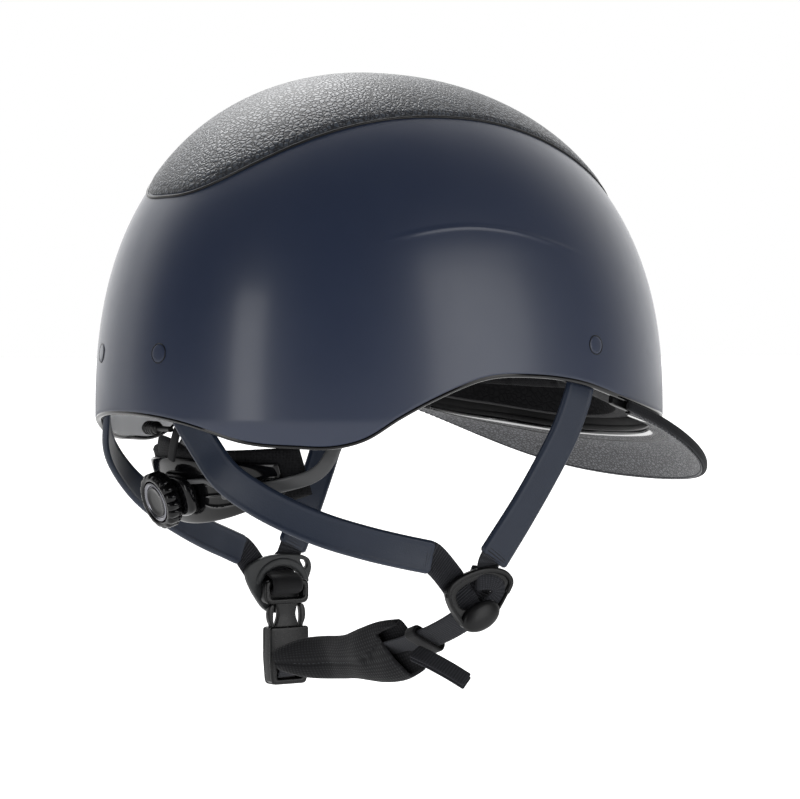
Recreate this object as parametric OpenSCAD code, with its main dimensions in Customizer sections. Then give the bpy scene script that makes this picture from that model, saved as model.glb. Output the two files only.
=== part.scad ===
// Equestrian riding helmet with peak, four-point harness and dial retention.
// Frame: millimetres, +Z up, peak towards -Y, wearer's right towards -X.
// Origin: centre of the head opening, at the height of the rim.

/* [Shell] */
// half width of the outer shell
shell_w = 104; // [98:0.5:112]
// length behind the centre
shell_rear = 141.8; // [130:0.2:150]
// length ahead of the centre
shell_front = 139.1; // [130:0.1:150]
// crown height above the rim datum
shell_h = 155.4; // [145:0.2:170]
// wall of the outer shell
shell_t = 3; // [2:0.2:4]
// thickness of the shock-absorbing liner
liner_t = 18; // [14:1:26]

/* [Crown panel] */
// half width of the leather panel
panel_w = 59; // [45:1:70]
// rearmost reach
panel_rear = 117.5; // [100:1:125]
// foremost reach
panel_front = -114; // [-130:1:-90]
// leather and backing
panel_t = 1.4; // [1:0.1:3]

/* [Peak] */
// half width where it meets the shell
peak_w = 95; // [84:1:98]
// reach of the tip ahead of the centre
peak_tip = 166.3; // [155:0.1:190]
// core plate
peak_t = 2.4; // [1.6:0.2:4]

/* [Harness] */
// width of the leather sleeves
sleeve_w = 15.2; // [14:0.5:20]
// thickness of the leather sleeves
sleeve_t = 2.6; // [2:0.2:4]
// width of the webbing
web_w = 14; // [12:0.5:18]
// thickness of the webbing
web_t = 1.6; // [1:0.1:2.5]
// half distance between the dividers
divider_x = 84; // [74:1:90]

/* [Retention] */
// inner radius of the occipital cradle
cradle_r = 78; // [74:0.5:82]
// tilt of the retention plane
cradle_tilt = 18; // [10:1:30]
// radius of the dial
dial_r = 13; // [11:0.5:15]

/* [Hidden] */
plan_n = 2.28;
dome_p = 2.44;
dome_q = 2.09;
dome_z0 = -4.5;
dome_k = 0.0035;
dome_y = -1.8;
dome_dy = 11.4;
rim_y = [-1, -0.85, -0.7, -0.5, -0.3, -0.1, 0.1, 0.25, 0.4, 0.5, 0.6, 0.7, 0.85, 0.95, 1];
rim_z = [-9.2, -4.3, -0.8, 5.5, 12.6, 15.7, 14.6, 7.5, -2.8, -11.5, -15.2, -15, -12, -4.3, -1];
rim_table = [for (i = [0:len(rim_y) - 1]) [rim_y[i], rim_z[i]]];
liner_o = shell_t + 1.1;
pad_o = liner_o + liner_t + 0.4;
pad_t = 5;
strap_o = shell_t + 0.4;
channel_d = 4;
front_plug = [98.6, -53, 28.5];
rear_plug = [27.4, 0, 24.8];
cradle_y = 34.5;
cradle_z = -14.2;
band_t = 1.6;
arm_w = 6.4;
pinion_r = 4.5;
buckle_x = 79.2;
buckle_y = 7;
buckle_z = -100.5;

navy = [0.19, 0.24, 0.34];
grey_leather = [0.25, 0.27, 0.31];
black = [0.06, 0.06, 0.07];
foam_black = [0.12, 0.12, 0.13];
gloss = [0.04, 0.04, 0.05];
grey = [0.3, 0.31, 0.33];
steel = [0.7, 0.7, 0.72];

// ---- shape of the shell ----

function se(c, m) = sign(c) * pow(abs(c), m);
function unit(v) = v / norm(v);
function dome_r(z, o) = z <= dome_z0 ? 1 - dome_k * pow(dome_z0 - z, 2) / (dome_z0 - z + 3)
  : pow(max(0, 1 - pow((z - dome_z0) / (shell_h - o - dome_z0), dome_p)), 1 / dome_q);
function shell_pt(t, z, o) = let (r = dome_r(z, o), l = sin(t) > 0 ? shell_rear : shell_front)
  [(shell_w - o) * r * se(cos(t), 2 / plan_n),
   (l - o) * r * se(sin(t), 2 / plan_n) + dome_y + dome_dy * (1 - r), z];
function rim_at(t) = lookup(se(sin(t), 2 / plan_n), rim_table);
// height of the surface over a point of the plan, found by repeated substitution
function plan_r(x, y, o, r, n) = n == 0 ? r
  : let (v = y - dome_y - dome_dy * (1 - r), l = v > 0 ? shell_rear : shell_front)
    plan_r(x, y, o, min(1, pow(pow(abs(x) / (shell_w - o), plan_n)
      + pow(abs(v) / (l - o), plan_n), 1 / plan_n)), n - 1);
function shell_z(x, y, o) = let (r = plan_r(x, y, o, 0.5, 12))
  dome_z0 + (shell_h - o - dome_z0) * pow(1 - pow(r, dome_q), 1 / dome_p);
function shell_n(t, z) = unit(cross(shell_pt(t + 1, z, 0) - shell_pt(t - 1, z, 0),
  shell_pt(t, z + 1, 0) - shell_pt(t, z - 1, 0)));
// plan angle of a point at a given X or Y on the outer face
function t_of_x(x, z) = acos(pow(x / (shell_w * dome_r(z, 0)), plan_n / 2));
function t_of_y(y, z) = let (r = dome_r(z, 0), v = y - dome_y - dome_dy * (1 - r))
  -asin(pow(-v / (shell_front * r), plan_n / 2));
// height of row j of n between the rim and the crown, closer together near the crown
function row_z(zr, j, n, top) = zr + (top - zr) * sin(90 * j / (n + 1));

// ---- closed solids from grids of points ----

function flat(l) = [for (a = l) for (b = a) b];
function quads(l) = [for (q = l) each [[q[0], q[1], q[2]], [q[0], q[2], q[3]]]];

// outer and inner hold rings of points from the rim upwards, closed by two pole points
module dome(outer, inner, pole_o, pole_i) {
  m = len(outer[0]);
  n = len(outer);
  k = m * n;
  function o(j, i) = j * m + i % m;
  function q(j, i) = k + j * m + i % m;
  faces = concat(
    quads([for (j = [0:n - 2]) for (i = [0:m - 1])
      [o(j, i), o(j + 1, i), o(j + 1, i + 1), o(j, i + 1)]]),
    quads([for (j = [0:n - 2]) for (i = [0:m - 1])
      [q(j, i), q(j, i + 1), q(j + 1, i + 1), q(j + 1, i)]]),
    quads([for (i = [0:m - 1]) [o(0, i), o(0, i + 1), q(0, i + 1), q(0, i)]]),
    [for (i = [0:m - 1]) [o(n - 1, i), 2 * k, o(n - 1, i + 1)]],
    [for (i = [0:m - 1]) [q(n - 1, i), q(n - 1, i + 1), 2 * k + 1]]);
  polyhedron(concat(flat(outer), flat(inner), [pole_o, pole_i]), faces);
}

// outer and inner hold columns of points; columns run anticlockwise, points run inwards or up
module patch(outer, inner) {
  m = len(outer);
  n = len(outer[0]);
  k = m * n;
  function o(i, j) = i * n + j;
  function q(i, j) = k + i * n + j;
  faces = concat(
    quads([for (i = [0:m - 2]) for (j = [0:n - 2])
      [o(i, j), o(i, j + 1), o(i + 1, j + 1), o(i + 1, j)]]),
    quads([for (i = [0:m - 2]) for (j = [0:n - 2])
      [q(i, j), q(i + 1, j), q(i + 1, j + 1), q(i, j + 1)]]),
    quads([for (i = [0:m - 2]) [o(i, 0), o(i + 1, 0), q(i + 1, 0), q(i, 0)]]),
    quads([for (i = [0:m - 2]) [o(i + 1, n - 1), o(i, n - 1), q(i, n - 1), q(i + 1, n - 1)]]),
    quads([for (j = [0:n - 2]) [o(0, j + 1), o(0, j), q(0, j), q(0, j + 1)]]),
    quads([for (j = [0:n - 2]) [o(m - 1, j), o(m - 1, j + 1), q(m - 1, j + 1), q(m - 1, j)]]));
  polyhedron(concat(flat(outer), flat(inner)), faces);
}

// convex profile prof swept along path P, with N pointing along the profile's second axis
function tangent(P, i, c) = c ? unit(P[(i + 1) % len(P)] - P[(i + len(P) - 1) % len(P)])
  : unit(P[min(i + 1, len(P) - 1)] - P[max(i - 1, 0)]);
function ring(P, N, i, prof, c) = let (t = tangent(P, i, c), s = unit(cross(t, N[i])),
  n = cross(s, t)) [for (q = prof) P[i] + q[0] * s + q[1] * n];
module sweep(P, N, prof, closed = false) {
  k = len(prof);
  m = len(P);
  rings = [for (i = [0:m - 1]) ring(P, N, i, prof, closed)];
  last = closed ? m - 1 : m - 2;
  function v(i, j) = (i % m) * k + j % k;
  walls = quads([for (i = [0:last]) for (j = [0:k - 1])
    [v(i, j), v(i, j + 1), v(i + 1, j + 1), v(i + 1, j)]]);
  caps = closed ? [] : concat([for (j = [1:k - 2]) [v(0, 0), v(0, j + 1), v(0, j)]],
    [for (j = [1:k - 2]) [v(m - 1, 0), v(m - 1, j), v(m - 1, j + 1)]]);
  polyhedron(flat(rings), concat(walls, caps));
}
// flat strip with softened edges, and a six-sided cord
function strip(w, t) = [[-w / 2, -t / 4], [-w / 2 + t / 2, -t / 2], [w / 2 - t / 2, -t / 2],
  [w / 2, -t / 4], [w / 2, t / 4], [w / 2 - t / 2, t / 2], [-w / 2 + t / 2, t / 2],
  [-w / 2, t / 4]];
function round6(r) = [for (a = [0:60:300]) [r * cos(a), r * sin(a)]];

// ---- shell and liner ----

module outer_shell() {
  m = 64;
  n = 12;
  color(navy) dome(
    [for (j = [0:n]) [for (i = [0:m - 1]) let (t = 360 * i / m)
      shell_pt(t, row_z(rim_at(t), j, n, shell_h), 0)]],
    [for (j = [0:n]) [for (i = [0:m - 1]) let (t = 360 * i / m)
      shell_pt(t, row_z(rim_at(t), j, n, shell_h - shell_t), shell_t)]],
    [0, dome_y + dome_dy, shell_h], [0, dome_y + dome_dy, shell_h - shell_t]);
}

module rim_trim() {
  m = 64;
  ts = [for (i = [0:m - 1]) 360 * i / m];
  color(gloss) sweep(
    [for (t = ts) shell_pt(t, rim_at(t) - 1.1, shell_t / 2)],
    [for (t = ts) [cos(t), sin(t), 0]],
    [[-0.9, -1.4], [0.9, -1.1], [0.9, 1.1], [0, 1.8], [-0.9, 1.5]], closed = true);
}

// depth of the strap channels in the outer face of the liner
front_chan = 360 - abs(t_of_y(-49, 15));
rear_chan = t_of_x(32, 12);
function near_t(t, c) = min(abs(t - c), abs((540 - t) % 360 - c)) < 11;
function channel(t, z) = z < 46 && (near_t(t, front_chan) || near_t(t, rear_chan)) ? channel_d : 0;

function ramp01(x) = let (c = min(1, max(0, x))) c * c * (3 - 2 * c);
// the liner stops higher at the rear quarters, where the arms of the cradle come in
function liner_rim(t) = rim_at(t) + 3 + 10 * ramp01((se(sin(t), 2 / plan_n) - 0.2) / 0.3)
  * ramp01((abs(se(cos(t), 2 / plan_n)) - 0.24) / 0.2);
module foam_liner() {
  m = 60;
  n = 10;
  color(foam_black) dome(
    [for (j = [0:n]) [for (i = [0:m - 1])
      let (t = 360 * i / m, z = row_z(liner_rim(t), j, n, shell_h - liner_o))
      shell_pt(t, z, liner_o + channel(t, z))]],
    [for (j = [0:n]) [for (i = [0:m - 1])
      let (t = 360 * i / m, z = row_z(liner_rim(t), j, n, shell_h - liner_o - liner_t))
      shell_pt(t, z, liner_o + liner_t)]],
    [0, dome_y + dome_dy, shell_h - liner_o],
    [0, dome_y + dome_dy, shell_h - liner_o - liner_t]);
}

// ---- crown panel ----

panel_mid = 5;
function panel_edge(a) = let (n = sin(a) > 0 ? 2.6 : 3.2,
  l = sin(a) > 0 ? panel_rear - panel_mid : panel_mid - panel_front)
  [panel_w * se(cos(a), 2 / n), l * se(sin(a), 2 / n)];
function on_shell(p, o) = [p[0], p[1] + panel_mid, shell_z(p[0], p[1] + panel_mid, o)];

module crown_panel() {
  m = 56;
  n = 9;
  color(grey_leather) dome(
    [for (j = [0:n]) [for (i = [0:m - 1])
      on_shell(panel_edge(360 * i / m) * (1 - j / (n + 1)), -0.35 - panel_t)]],
    [for (j = [0:n]) [for (i = [0:m - 1])
      on_shell(panel_edge(360 * i / m) * (1 - j / (n + 1)), -0.35)]],
    on_shell([0, 0], -0.35 - panel_t), on_shell([0, 0], -0.35));
}

module crown_panel_piping() {
  m = 56;
  // the cord lies just outside the panel's edge
  gap = 1.3;
  color(gloss) sweep(
    [for (i = [0:m - 1]) let (p = panel_edge(360 * i / m), a = panel_edge(360 * i / m - 1),
      b = panel_edge(360 * i / m + 1), out = unit([b[1] - a[1], a[0] - b[0]]))
      on_shell(p + out * gap, -0.98)],
    [for (i = [0:m - 1]) [0, 0, 1]], round6(0.9), closed = true);
}

// ---- peak ----

peak_y0 = -49;
function peak_edge(u) = let (c = cos(u))
  [peak_w * se(sin(u), 1.09), peak_y0 - (peak_tip + peak_y0) * pow(c, 0.635),
   6.2 - 59 * c + 17.4 * c * c - 11.8 * pow(c, 3) + 10.7 * pow(c, 4)];
// underside of the shell's edge, from the right temple (u = -90) to the left one
function peak_root(u) = let (t = 270 + u * 0.66) shell_pt(t, rim_at(t) - 2.6, shell_t + 3);
function peak_pt(u, v, o) = let (a = peak_edge(u), b = peak_root(u))
  a + (b - a) * v + [0, 0, 5 * pow(max(0, sin(180 * v)), 1.5) * cos(u) - o];
function peak_grid(v0, v1, o) = [for (i = [0:24]) let (u = -84 + 7 * i)
  [for (j = [0:8]) peak_pt(u, v0 + (v1 - v0) * j / 8, o)]];
module peak_layer(v0, v1, top, bottom) {
  patch(peak_grid(v0, v1, top), peak_grid(v0, v1, bottom));
}

module peak_core() {
  color(black) peak_layer(0.03, 1, 0, peak_t);
}

module peak_cover() {
  color(grey_leather) peak_layer(0.03, 0.84, -1.6, -0.25);
}

module peak_leather() {
  color(grey_leather) peak_layer(0.03, 0.6, peak_t + 0.25, peak_t + 1.5);
}

module peak_gloss_trim() {
  color(gloss) peak_layer(0.62, 0.97, peak_t + 0.25, peak_t + 1.6);
}

module peak_binding() {
  us = [for (i = [0:26]) -84 + 168 * i / 26];
  color(black) sweep([for (u = us) peak_pt(u, -0.012, 0.55)],
    [for (u = us) [sin(u), -cos(u), 0]],
    [[-2.1, -0.9], [0, -1.3], [2.1, -0.9], [2.3, 0.2], [1.3, 1.1], [-1.3, 1.1], [-2.3, 0.2]]);
}

// ---- comfort pads ----

module pad_band(t0, t1, z0, z1, m = 10, n = 3) {
  color(foam_black) patch(
    [for (i = [0:m]) let (t = t0 + (t1 - t0) * i / m) [for (j = [0:n])
      shell_pt(t, z0 + rim_at(t) * 0.35 + (z1 - z0) * j / n, pad_o)]],
    [for (i = [0:m]) let (t = t0 + (t1 - t0) * i / m) [for (j = [0:n])
      shell_pt(t, z0 + rim_at(t) * 0.35 + (z1 - z0) * j / n,
        pad_o + (i == 0 || i == m || j == 0 || j == n ? 2.5 : pad_t))]]);
}

module crown_pad() {
  m = 28;
  n = 3;
  function edge(i, j) = [46 * cos(360 * i / m), 62 * sin(360 * i / m)] * (1 - j / (n + 1));
  color(foam_black) dome(
    [for (j = [0:n]) [for (i = [0:m - 1]) on_shell(edge(i, j), pad_o)]],
    [for (j = [0:n]) [for (i = [0:m - 1]) on_shell(edge(i, j), pad_o + (j == 0 ? 2.5 : pad_t))]],
    on_shell([0, 0], pad_o), on_shell([0, 0], pad_o + pad_t));
}

module brow_pad() {
  pad_band(222, 318, 10, 44, m = 14);
}

module side_pad_right() {
  pad_band(158, 206, 40, 76, m = 7);
}

module side_pad_left() {
  mirror([1, 0, 0]) pad_band(158, 206, 40, 76, m = 7);
}

module rear_pad() {
  pad_band(52, 128, 20, 58, m = 12);
}

// ---- strap anchors ----

module at_plug(p, side) {
  z = p[2];
  t = p[1] < 0 ? t_of_y(p[1], z) : t_of_x(p[0], z);
  c = shell_pt(t, z, 0);
  n = shell_n(t, z);
  mirror([side > 0 ? 0 : 1, 0, 0])
    translate(c) rotate([0, acos(n[2]), atan2(n[1], n[0])]) children();
}

module strap_anchor_plugs() {
  color(navy) for (p = [front_plug, rear_plug]) for (s = [-1, 1]) at_plug(p, s)
    union() {
      translate([0, 0, -shell_t - 4.8]) cylinder(d = 5, h = shell_t + 4.5, $fn = 24);
      translate([0, 0, -0.4]) cylinder(d = 8.6, h = 0.7, $fn = 32);
    }
}

module strap_anchor_backs() {
  color(steel) for (p = [front_plug, rear_plug]) for (s = [-1, 1]) at_plug(p, s)
    translate([0, 0, -shell_t - 4.8]) difference() {
      cylinder(d = 10, h = 0.8, $fn = 32);
      translate([0, 0, -1]) cylinder(d = 5.1, h = 3, $fn = 24);
    }
}

// ---- harness straps ----

// paths of the right side run from the anchor to the divider; the left ones are mirrored
strap_mid = strap_o + sleeve_t / 2 + 0.3;
function right_of(q) = [-q[0], q[1], q[2]];
front_top = [for (k = [[33, -53.5], [22, -51], [11, -48], [3, -45]])
  right_of(shell_pt(-abs(t_of_y(k[1], k[0])), k[0], strap_mid))];
rear_top = [for (k = [[33, 27], [22, 29], [11, 33], [1, 37.5]])
  right_of(shell_pt(t_of_x(k[1], k[0]), k[0], strap_mid))];
divider_y = [4, 9];
divider_z = [-82.5, -87.4];
front_run = [[[-94, -38, -12], [-91, -29.5, -29], [-88, -19, -47], [-85.5, -5, -67.5]],
  [[-94, -30, -14], [-91, -20, -34], [-88, -11, -52], [-85.5, -1, -71.5]]];
rear_run = [[[-45, 122, -17], [-54, 117, -29.2], [-63, 107, -38.8], [-71, 94, -46.9],
    [-77, 79, -53.6], [-81, 61, -59.2], [-83.4, 45, -63.2], [-84.3, 30, -66.4]],
  [[-46.5, 123.5, -14], [-53, 116, -25], [-60, 102, -38], [-67, 84, -49.5],
    [-73, 67, -58], [-78, 52, -64.5], [-82, 40, -69], [-84.3, 30.5, -72.8]]];
function front_path(i) = concat(front_top, front_run[i]);
function rear_path(i) = concat(rear_top, rear_run[i]);
function bez(a, b, c, d, k) = a * pow(1 - k, 3) + 3 * b * k * pow(1 - k, 2)
  + 3 * c * k * k * (1 - k) + d * pow(k, 3);
function out_n(P) = [for (p = P) unit([p[0], max(-20, p[1]) * 0.55, 0])];
module sleeve(P, i) {
  color(navy) mirror([i, 0, 0]) sweep(P, out_n(P), strip(sleeve_w, sleeve_t));
}

module front_sleeve_right() {
  sleeve(front_path(0), 0);
}

module front_sleeve_left() {
  sleeve(front_path(1), 1);
}

module rear_sleeve_right() {
  sleeve(rear_path(0), 0);
}

module rear_sleeve_left() {
  sleeve(rear_path(1), 1);
}

// webbing runs on from the end of a sleeve, past the arch of the divider, to its tip;
// off is how far it lies from the middle of the divider plate
function end_dir(P) = unit(P[len(P) - 1] - P[len(P) - 2]);
function in_divider(i, x, y, off) = [-divider_x + off, divider_y[i] + x, divider_z[i] + y];
module web_to(P, i, arch, tip, off) {
  a = P[len(P) - 1] + end_dir(P) * 0.3;
  o = i == 0 ? off : -off;
  W = [a, in_divider(i, arch[0], arch[1], o), in_divider(i, tip[0] * 0.5 + arch[0] * 0.5,
    tip[1] * 0.5 + arch[1] * 0.5, o), in_divider(i, tip[0], tip[1], o)];
  color(black) mirror([i, 0, 0]) sweep(W, [for (p = W) [-1, 0, 0]], strip(web_w, web_t));
}

module front_webbing_right() {
  web_to(front_path(0), 0, [-8, 9], [0, -9], 4.6);
}

module front_webbing_left() {
  web_to(front_path(1), 1, [-8, 9], [0, -9], 4.6);
}

module rear_webbing_right() {
  web_to(rear_path(0), 0, [12, 5.5], [2, -9], 2.7);
}

module rear_webbing_left() {
  web_to(rear_path(1), 1, [12, 5.5], [2, -9], 2.7);
}

// ---- dividers ----

divider_t = 3.2;
// drawn flat in the plane of the strap, x towards the rear and y up
module divider_plate() {
  linear_extrude(divider_t, center = true) difference() {
    polygon([[16.9, 0.2], [15, 3.4], [9.3, 7], [0.2, 9.8], [-7.4, 10.4], [-14.4, 9],
      [-18.4, 6.4], [-19.4, 3.4], [-18.6, 0.2], [-12.2, -8], [-7.4, -15], [-4.4, -17.4],
      [0.8, -18.2], [6, -17.4], [9.6, -14.6], [14.6, -7.6], [16.6, -3]]);
    polygon([[12.2, -1.4], [7, 2.4], [-0.4, 5], [-7.6, 5.6], [-13.6, 4], [-14.4, 2.2],
      [-10, -3.6], [-3, -5.2], [5, -8.8], [10, -7.4]]);
  }
}
module at_divider(i) {
  translate([(i == 0 ? -1 : 1) * divider_x, divider_y[i], divider_z[i]])
    mirror([1 - i, 0, 0]) rotate([90, 0, 90]) children();
}

module divider_frame_right() {
  color(black) at_divider(0) divider_plate();
}

module divider_frame_left() {
  color(black) at_divider(1) divider_plate();
}

module divider_cap() {
  color(gloss) at_divider(0) translate([-1, -11.6, 0]) {
    rotate(-22) scale([1.45, 1, 1]) {
      translate([0, 0, divider_t / 2 + 0.1]) cylinder(r = 6.6, h = 1.6, $fn = 96);
      translate([0, 0, divider_t / 2 + 1.7]) cylinder(r1 = 6.6, r2 = 4.4, h = 1.2, $fn = 96);
    }
    translate([0, 0, -7.4]) cylinder(r = 2, h = 9.4, $fn = 96);
  }
}

// ---- chin strap ----

function chin_pt(k) = bez([-76.2, 4, -95], [-54, 13, -112], [22, 10, -126], [72, 8.5, -126], k);
module chin_run(k0, k1, n, w, t) {
  P = [for (i = [0:n]) chin_pt(k0 + (k1 - k0) * i / n)];
  sweep(P, [for (p = P) unit([0.25, 0.55, -1])], strip(w, t));
}

module chin_webbing_right() {
  color(black) chin_run(0, 0.315, 7, web_w, web_t);
}

module chin_pad() {
  P = [for (i = [0:10]) chin_pt(0.33 + 0.62 * i / 10)];
  color(foam_black) sweep(P, [for (p = P) unit([0.1, 1, -0.5])], [[-12, -2], [-8.5, -4],
    [8.5, -4], [12, -2], [12, 2], [8.5, 4], [-8.5, 4], [-12, 2]]);
}

module chin_webbing_left() {
  P = [[70.6, 8.3, -127.5], [72.6, 8, -131.5], [75.2, 7.6, -135.4], [79.2, 7.2, -136.6]];
  color(black) sweep(P, [for (p = P) unit([-0.6, 0, -0.7])], strip(12, web_t));
}

keeper_k = 0.26;
module strap_keeper() {
  d = unit(chin_pt(keeper_k + 0.03) - chin_pt(keeper_k - 0.03));
  s = unit(cross(d, unit([0.25, 0.55, -1])));
  n = cross(s, d);
  color(black) multmatrix([for (r = [0:2]) [d[r], s[r], n[r], chin_pt(keeper_k)[r]]])
    difference() {
      cube([7, 19, 6.6], center = true);
      cube([9, 16.4, 4], center = true);
    }
}

module strap_tail() {
  P = [[-54, 14.5, -114], [-59.5, 10.5, -117], [-65, 5.5, -120.8], [-70, 0, -125.2]];
  color(black) sweep(P, [for (p = P) unit([0.45, -0.35, -0.9])], strip(web_w - 4, web_t + 1.2));
}

// ---- side-release buckle, hanging on the inner side of the left divider ----

// drawn in its own frame: x towards the rear, y up the strap, z through the thickness
module at_buckle() {
  translate([buckle_x, buckle_y, buckle_z]) rotate([90, 0, 90]) children();
}

module buckle_loop() {
  P = [[77.6, 8, -95], [80.6, 8, -94.6], [83.4, 8.2, -93.4], [85.4, 8.4, -92]];
  color(black) sweep(P, [for (p = P) unit([0.3, 0, 1])], strip(13, web_t));
}

module buckle_plug() {
  color(black) at_buckle() union() {
    linear_extrude(5.4, center = true) difference() {
      polygon([[-11.8, 2], [-9.8, 0], [9.8, 0], [11.8, 2], [11.8, 10], [10.4, 12],
        [-10.4, 12], [-11.8, 10]]);
      polygon([[-8.8, 3], [8.8, 3], [8.8, 9.4], [-8.8, 9.4]]);
    }
    linear_extrude(3.2, center = true)
      polygon([[-6, 0.4], [-3.9, -4.6], [-3.9, -6.6], [-5.6, -10], [-5.6, -13], [-2, -14],
        [-2, -30], [2, -30], [2, -14], [5.6, -13], [5.6, -10], [3.9, -6.6], [3.9, -4.6],
        [6, 0.4]]);
  }
}

// one prong, rooted in the foot of the plug's loop
module prong(s) {
  color(black) at_buckle() mirror([s > 0 ? 0 : 1, 0, 0]) linear_extrude(3.2, center = true)
    polygon([[7, -0.1], [9.4, -0.1], [10.5, -2.4], [10.9, -5.6], [10.4, -8.6], [9.1, -10.9],
      [9.1, -24], [8.3, -30], [6.9, -30], [7.3, -20], [7.3, -12], [8.3, -8.8], [8.5, -6],
      [8, -3.4]]);
}

module prong_front() {
  prong(-1);
}

module prong_rear() {
  prong(1);
}

module buckle_socket() {
  color(black) at_buckle() difference() {
    linear_extrude(8, center = true)
      polygon([[-11.2, -11.2], [11.2, -11.2], [11.2, -27], [10.2, -38.6], [8.8, -40],
        [-8.8, -40], [-10.2, -38.6], [-11.2, -27]]);
    // cavity for the plug and its prongs
    translate([-9.6, -33, -2.1]) cube([19.2, 30, 4.2]);
    // side windows the prongs click into
    translate([-15, -25.4, -2.1]) cube([30, 8.6, 4.2]);
    // slot above the lower bar
    translate([-7, -37.4, -5]) cube([14, 3, 10]);
  }
}

// ---- occipital cradle and dial ----

// local frame: z along the axis of the cradle's arc, y towards the rear
module at_cradle() {
  translate([0, cradle_y, cradle_z]) rotate([-cradle_tilt, 0, 0]) children();
}
function arc_pt(a, r, z) = [r * sin(a), r * cos(a), z];
// columns anticlockwise when seen from above, points from low to high
module arc_wall(a, r0, r1, lo, hi, m) {
  as = [for (i = [0:m]) a - 2 * a * i / m];
  patch([for (b = as) [for (h = [lo(abs(b)), hi(abs(b))]) arc_pt(b, r1, h)]],
    [for (b = as) [for (h = [lo(abs(b)), hi(abs(b))]) arc_pt(b, r0, h)]]);
}

module cradle_shell() {
  lo = function (a) -15 + 9 * pow(a / 44, 2);
  hi = function (a) 17 - 9 * pow(a / 44, 1.5);
  color(gloss) at_cradle() {
    arc_wall(44, cradle_r, cradle_r + 2, lo, hi, 18);
    for (s = [-1, 1]) for (k = [0:2]) {
      P = [for (i = [0:5]) arc_pt(s * (14 + 5.4 * i), cradle_r + 2.3, -9 + 7.5 * k - k * i * 0.9 + i)];
      sweep(s > 0 ? [for (i = [5:-1:0]) P[i]] : P, [for (p = P) [0, 1, 0]],
        [[-0.9, -0.6], [0.9, -0.6], [0.4, 0.8], [-0.4, 0.8]]);
    }
  }
}

module cradle_pad() {
  lo = function (a) -13 + 3 * pow(a / 52, 2);
  hi = function (a) (a < 9 ? 24 : 15) - 8 * pow(a / 52, 1.5);
  color(foam_black) at_cradle() arc_wall(52, cradle_r - 4.4, cradle_r - 0.3, lo, hi, 24);
}

module dial_housing() {
  color(gloss) at_cradle() difference() {
    translate([-18, cradle_r + 2.1, -9.6]) cube([36, 5.7, 19.2]);
    // curved channel that the racks run through
    difference() {
      translate([0, 0, -8]) cylinder(r = cradle_r + 6.7, h = 16, $fn = 180);
      translate([0, 0, -9]) cylinder(r = cradle_r + 3.4, h = 18, $fn = 180);
    }
    translate([0, cradle_r + 1, 0]) rotate([-90, 0, 0]) cylinder(r = 2.05, h = 12, $fn = 32);
  }
}

// everything on the dial's axis is drawn along z and turned to point rearwards
module on_axis(y) {
  at_cradle() translate([0, cradle_r + y, 0]) rotate([-90, 0, 0]) children();
}

module dial_knob() {
  color(gloss) on_axis(8) difference() {
    union() {
      cylinder(r = dial_r - 0.6, h = 7.5, $fn = 60);
      for (a = [0:20:340]) rotate(a) translate([dial_r - 0.9, 0, 0.9])
        cylinder(r = 1.1, h = 6, $fn = 16);
    }
    translate([0, 0, 4.5]) cylinder(r = 9.6, h = 4, $fn = 60);
    translate([0, 0, -1]) cylinder(r = 2.05, h = 8, $fn = 32);
  }
}

module dial_ring() {
  color(grey) on_axis(13.6) difference() {
    cylinder(r = 9.4, h = 1.6, $fn = 60);
    translate([0, 0, -1]) cylinder(r = 7.2, h = 4, $fn = 60);
  }
}

module dial_cap() {
  color(black) on_axis(13.7) cylinder(r = 7, h = 1, $fn = 60);
}

teeth = 12;
tooth_h = 0.7;
module dial_pinion() {
  q = 360 / teeth;
  tips = [for (k = [0:teeth - 1]) let (a = (k + 0.5) * q) each
    [[a - 9.5, pinion_r - 0.85], [a - 4, pinion_r + tooth_h], [a + 4, pinion_r + tooth_h],
     [a + 9.5, pinion_r - 0.85]]];
  color(grey) on_axis(3.7) difference() {
    union() {
      linear_extrude(2.8) polygon([for (p = tips) p[1] * [cos(p[0]), sin(p[0])]]);
      cylinder(r = 2, h = 8.6, $fn = 32);
    }
    translate([0, 0, -1]) cylinder(r = 1.1, h = 12, $fn = 24);
  }
}

module dial_screw() {
  color(steel) on_axis(3.9) {
    cylinder(r = 1, h = 8.8, $fn = 24);
    translate([0, 0, 8.65]) cylinder(r = 3, h = 0.9, $fn = 32);
  }
}

// a toothed rack behind the cradle, then an arm that curves up inside the shell
rack_mid = pinion_r + 2.05;
rack_r = cradle_r + 5.1;
// angle, radius and height of the arm's middle line
arm_path = [[24, 5.1, 0], [32, 5, -1], [40, 4.6, -1.4], [46.5, 4.2, -1.4], [50, 3.5, -1.4],
  [54, 2.1, -1], [57.5, 1.2, 0.8], [61, 0, 4.6], [65, -3.2, 10.4], [68.4, -6.2, 16.4],
  [71.6, -8.4, 23], [74.6, -10.4, 30]];
// s = 1 for the wearer's left band, whose rack lies under the pinion
module rack_band(s) {
  pitch = 360 / teeth * pinion_r / rack_r;
  as = s > 0 ? [26:-3.7:-11] : [-26:3.7:11];
  function lift(a) = abs(a) < 18 || a * s < 0 ? 1 : (26 - abs(a)) / 8;
  R = [for (a = as) arc_pt(a, rack_r, -s * rack_mid * lift(a))];
  A = [for (q = arm_path) arc_pt(s * q[0], cradle_r + q[1], q[2])];
  color(grey) at_cradle() union() {
    sweep(R, [for (p = R) [p[0], p[1], 0]], strip(2.2, band_t));
    sweep(A, [for (p = A) [p[0], p[1], 0]], strip(arm_w, band_t));
    for (k = [-3:4]) rotate([0, 0, -s * k * pitch])
      translate([0, cradle_r + 5.9, -s * pinion_r]) rotate([90, 0, 0]) linear_extrude(band_t)
        polygon([[-0.85, -s * 1.0], [-0.38, s * 0.62], [0.38, s * 0.62], [0.85, -s * 1.0]]);
  }
}

module rack_band_right() {
  rack_band(-1);
}

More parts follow.
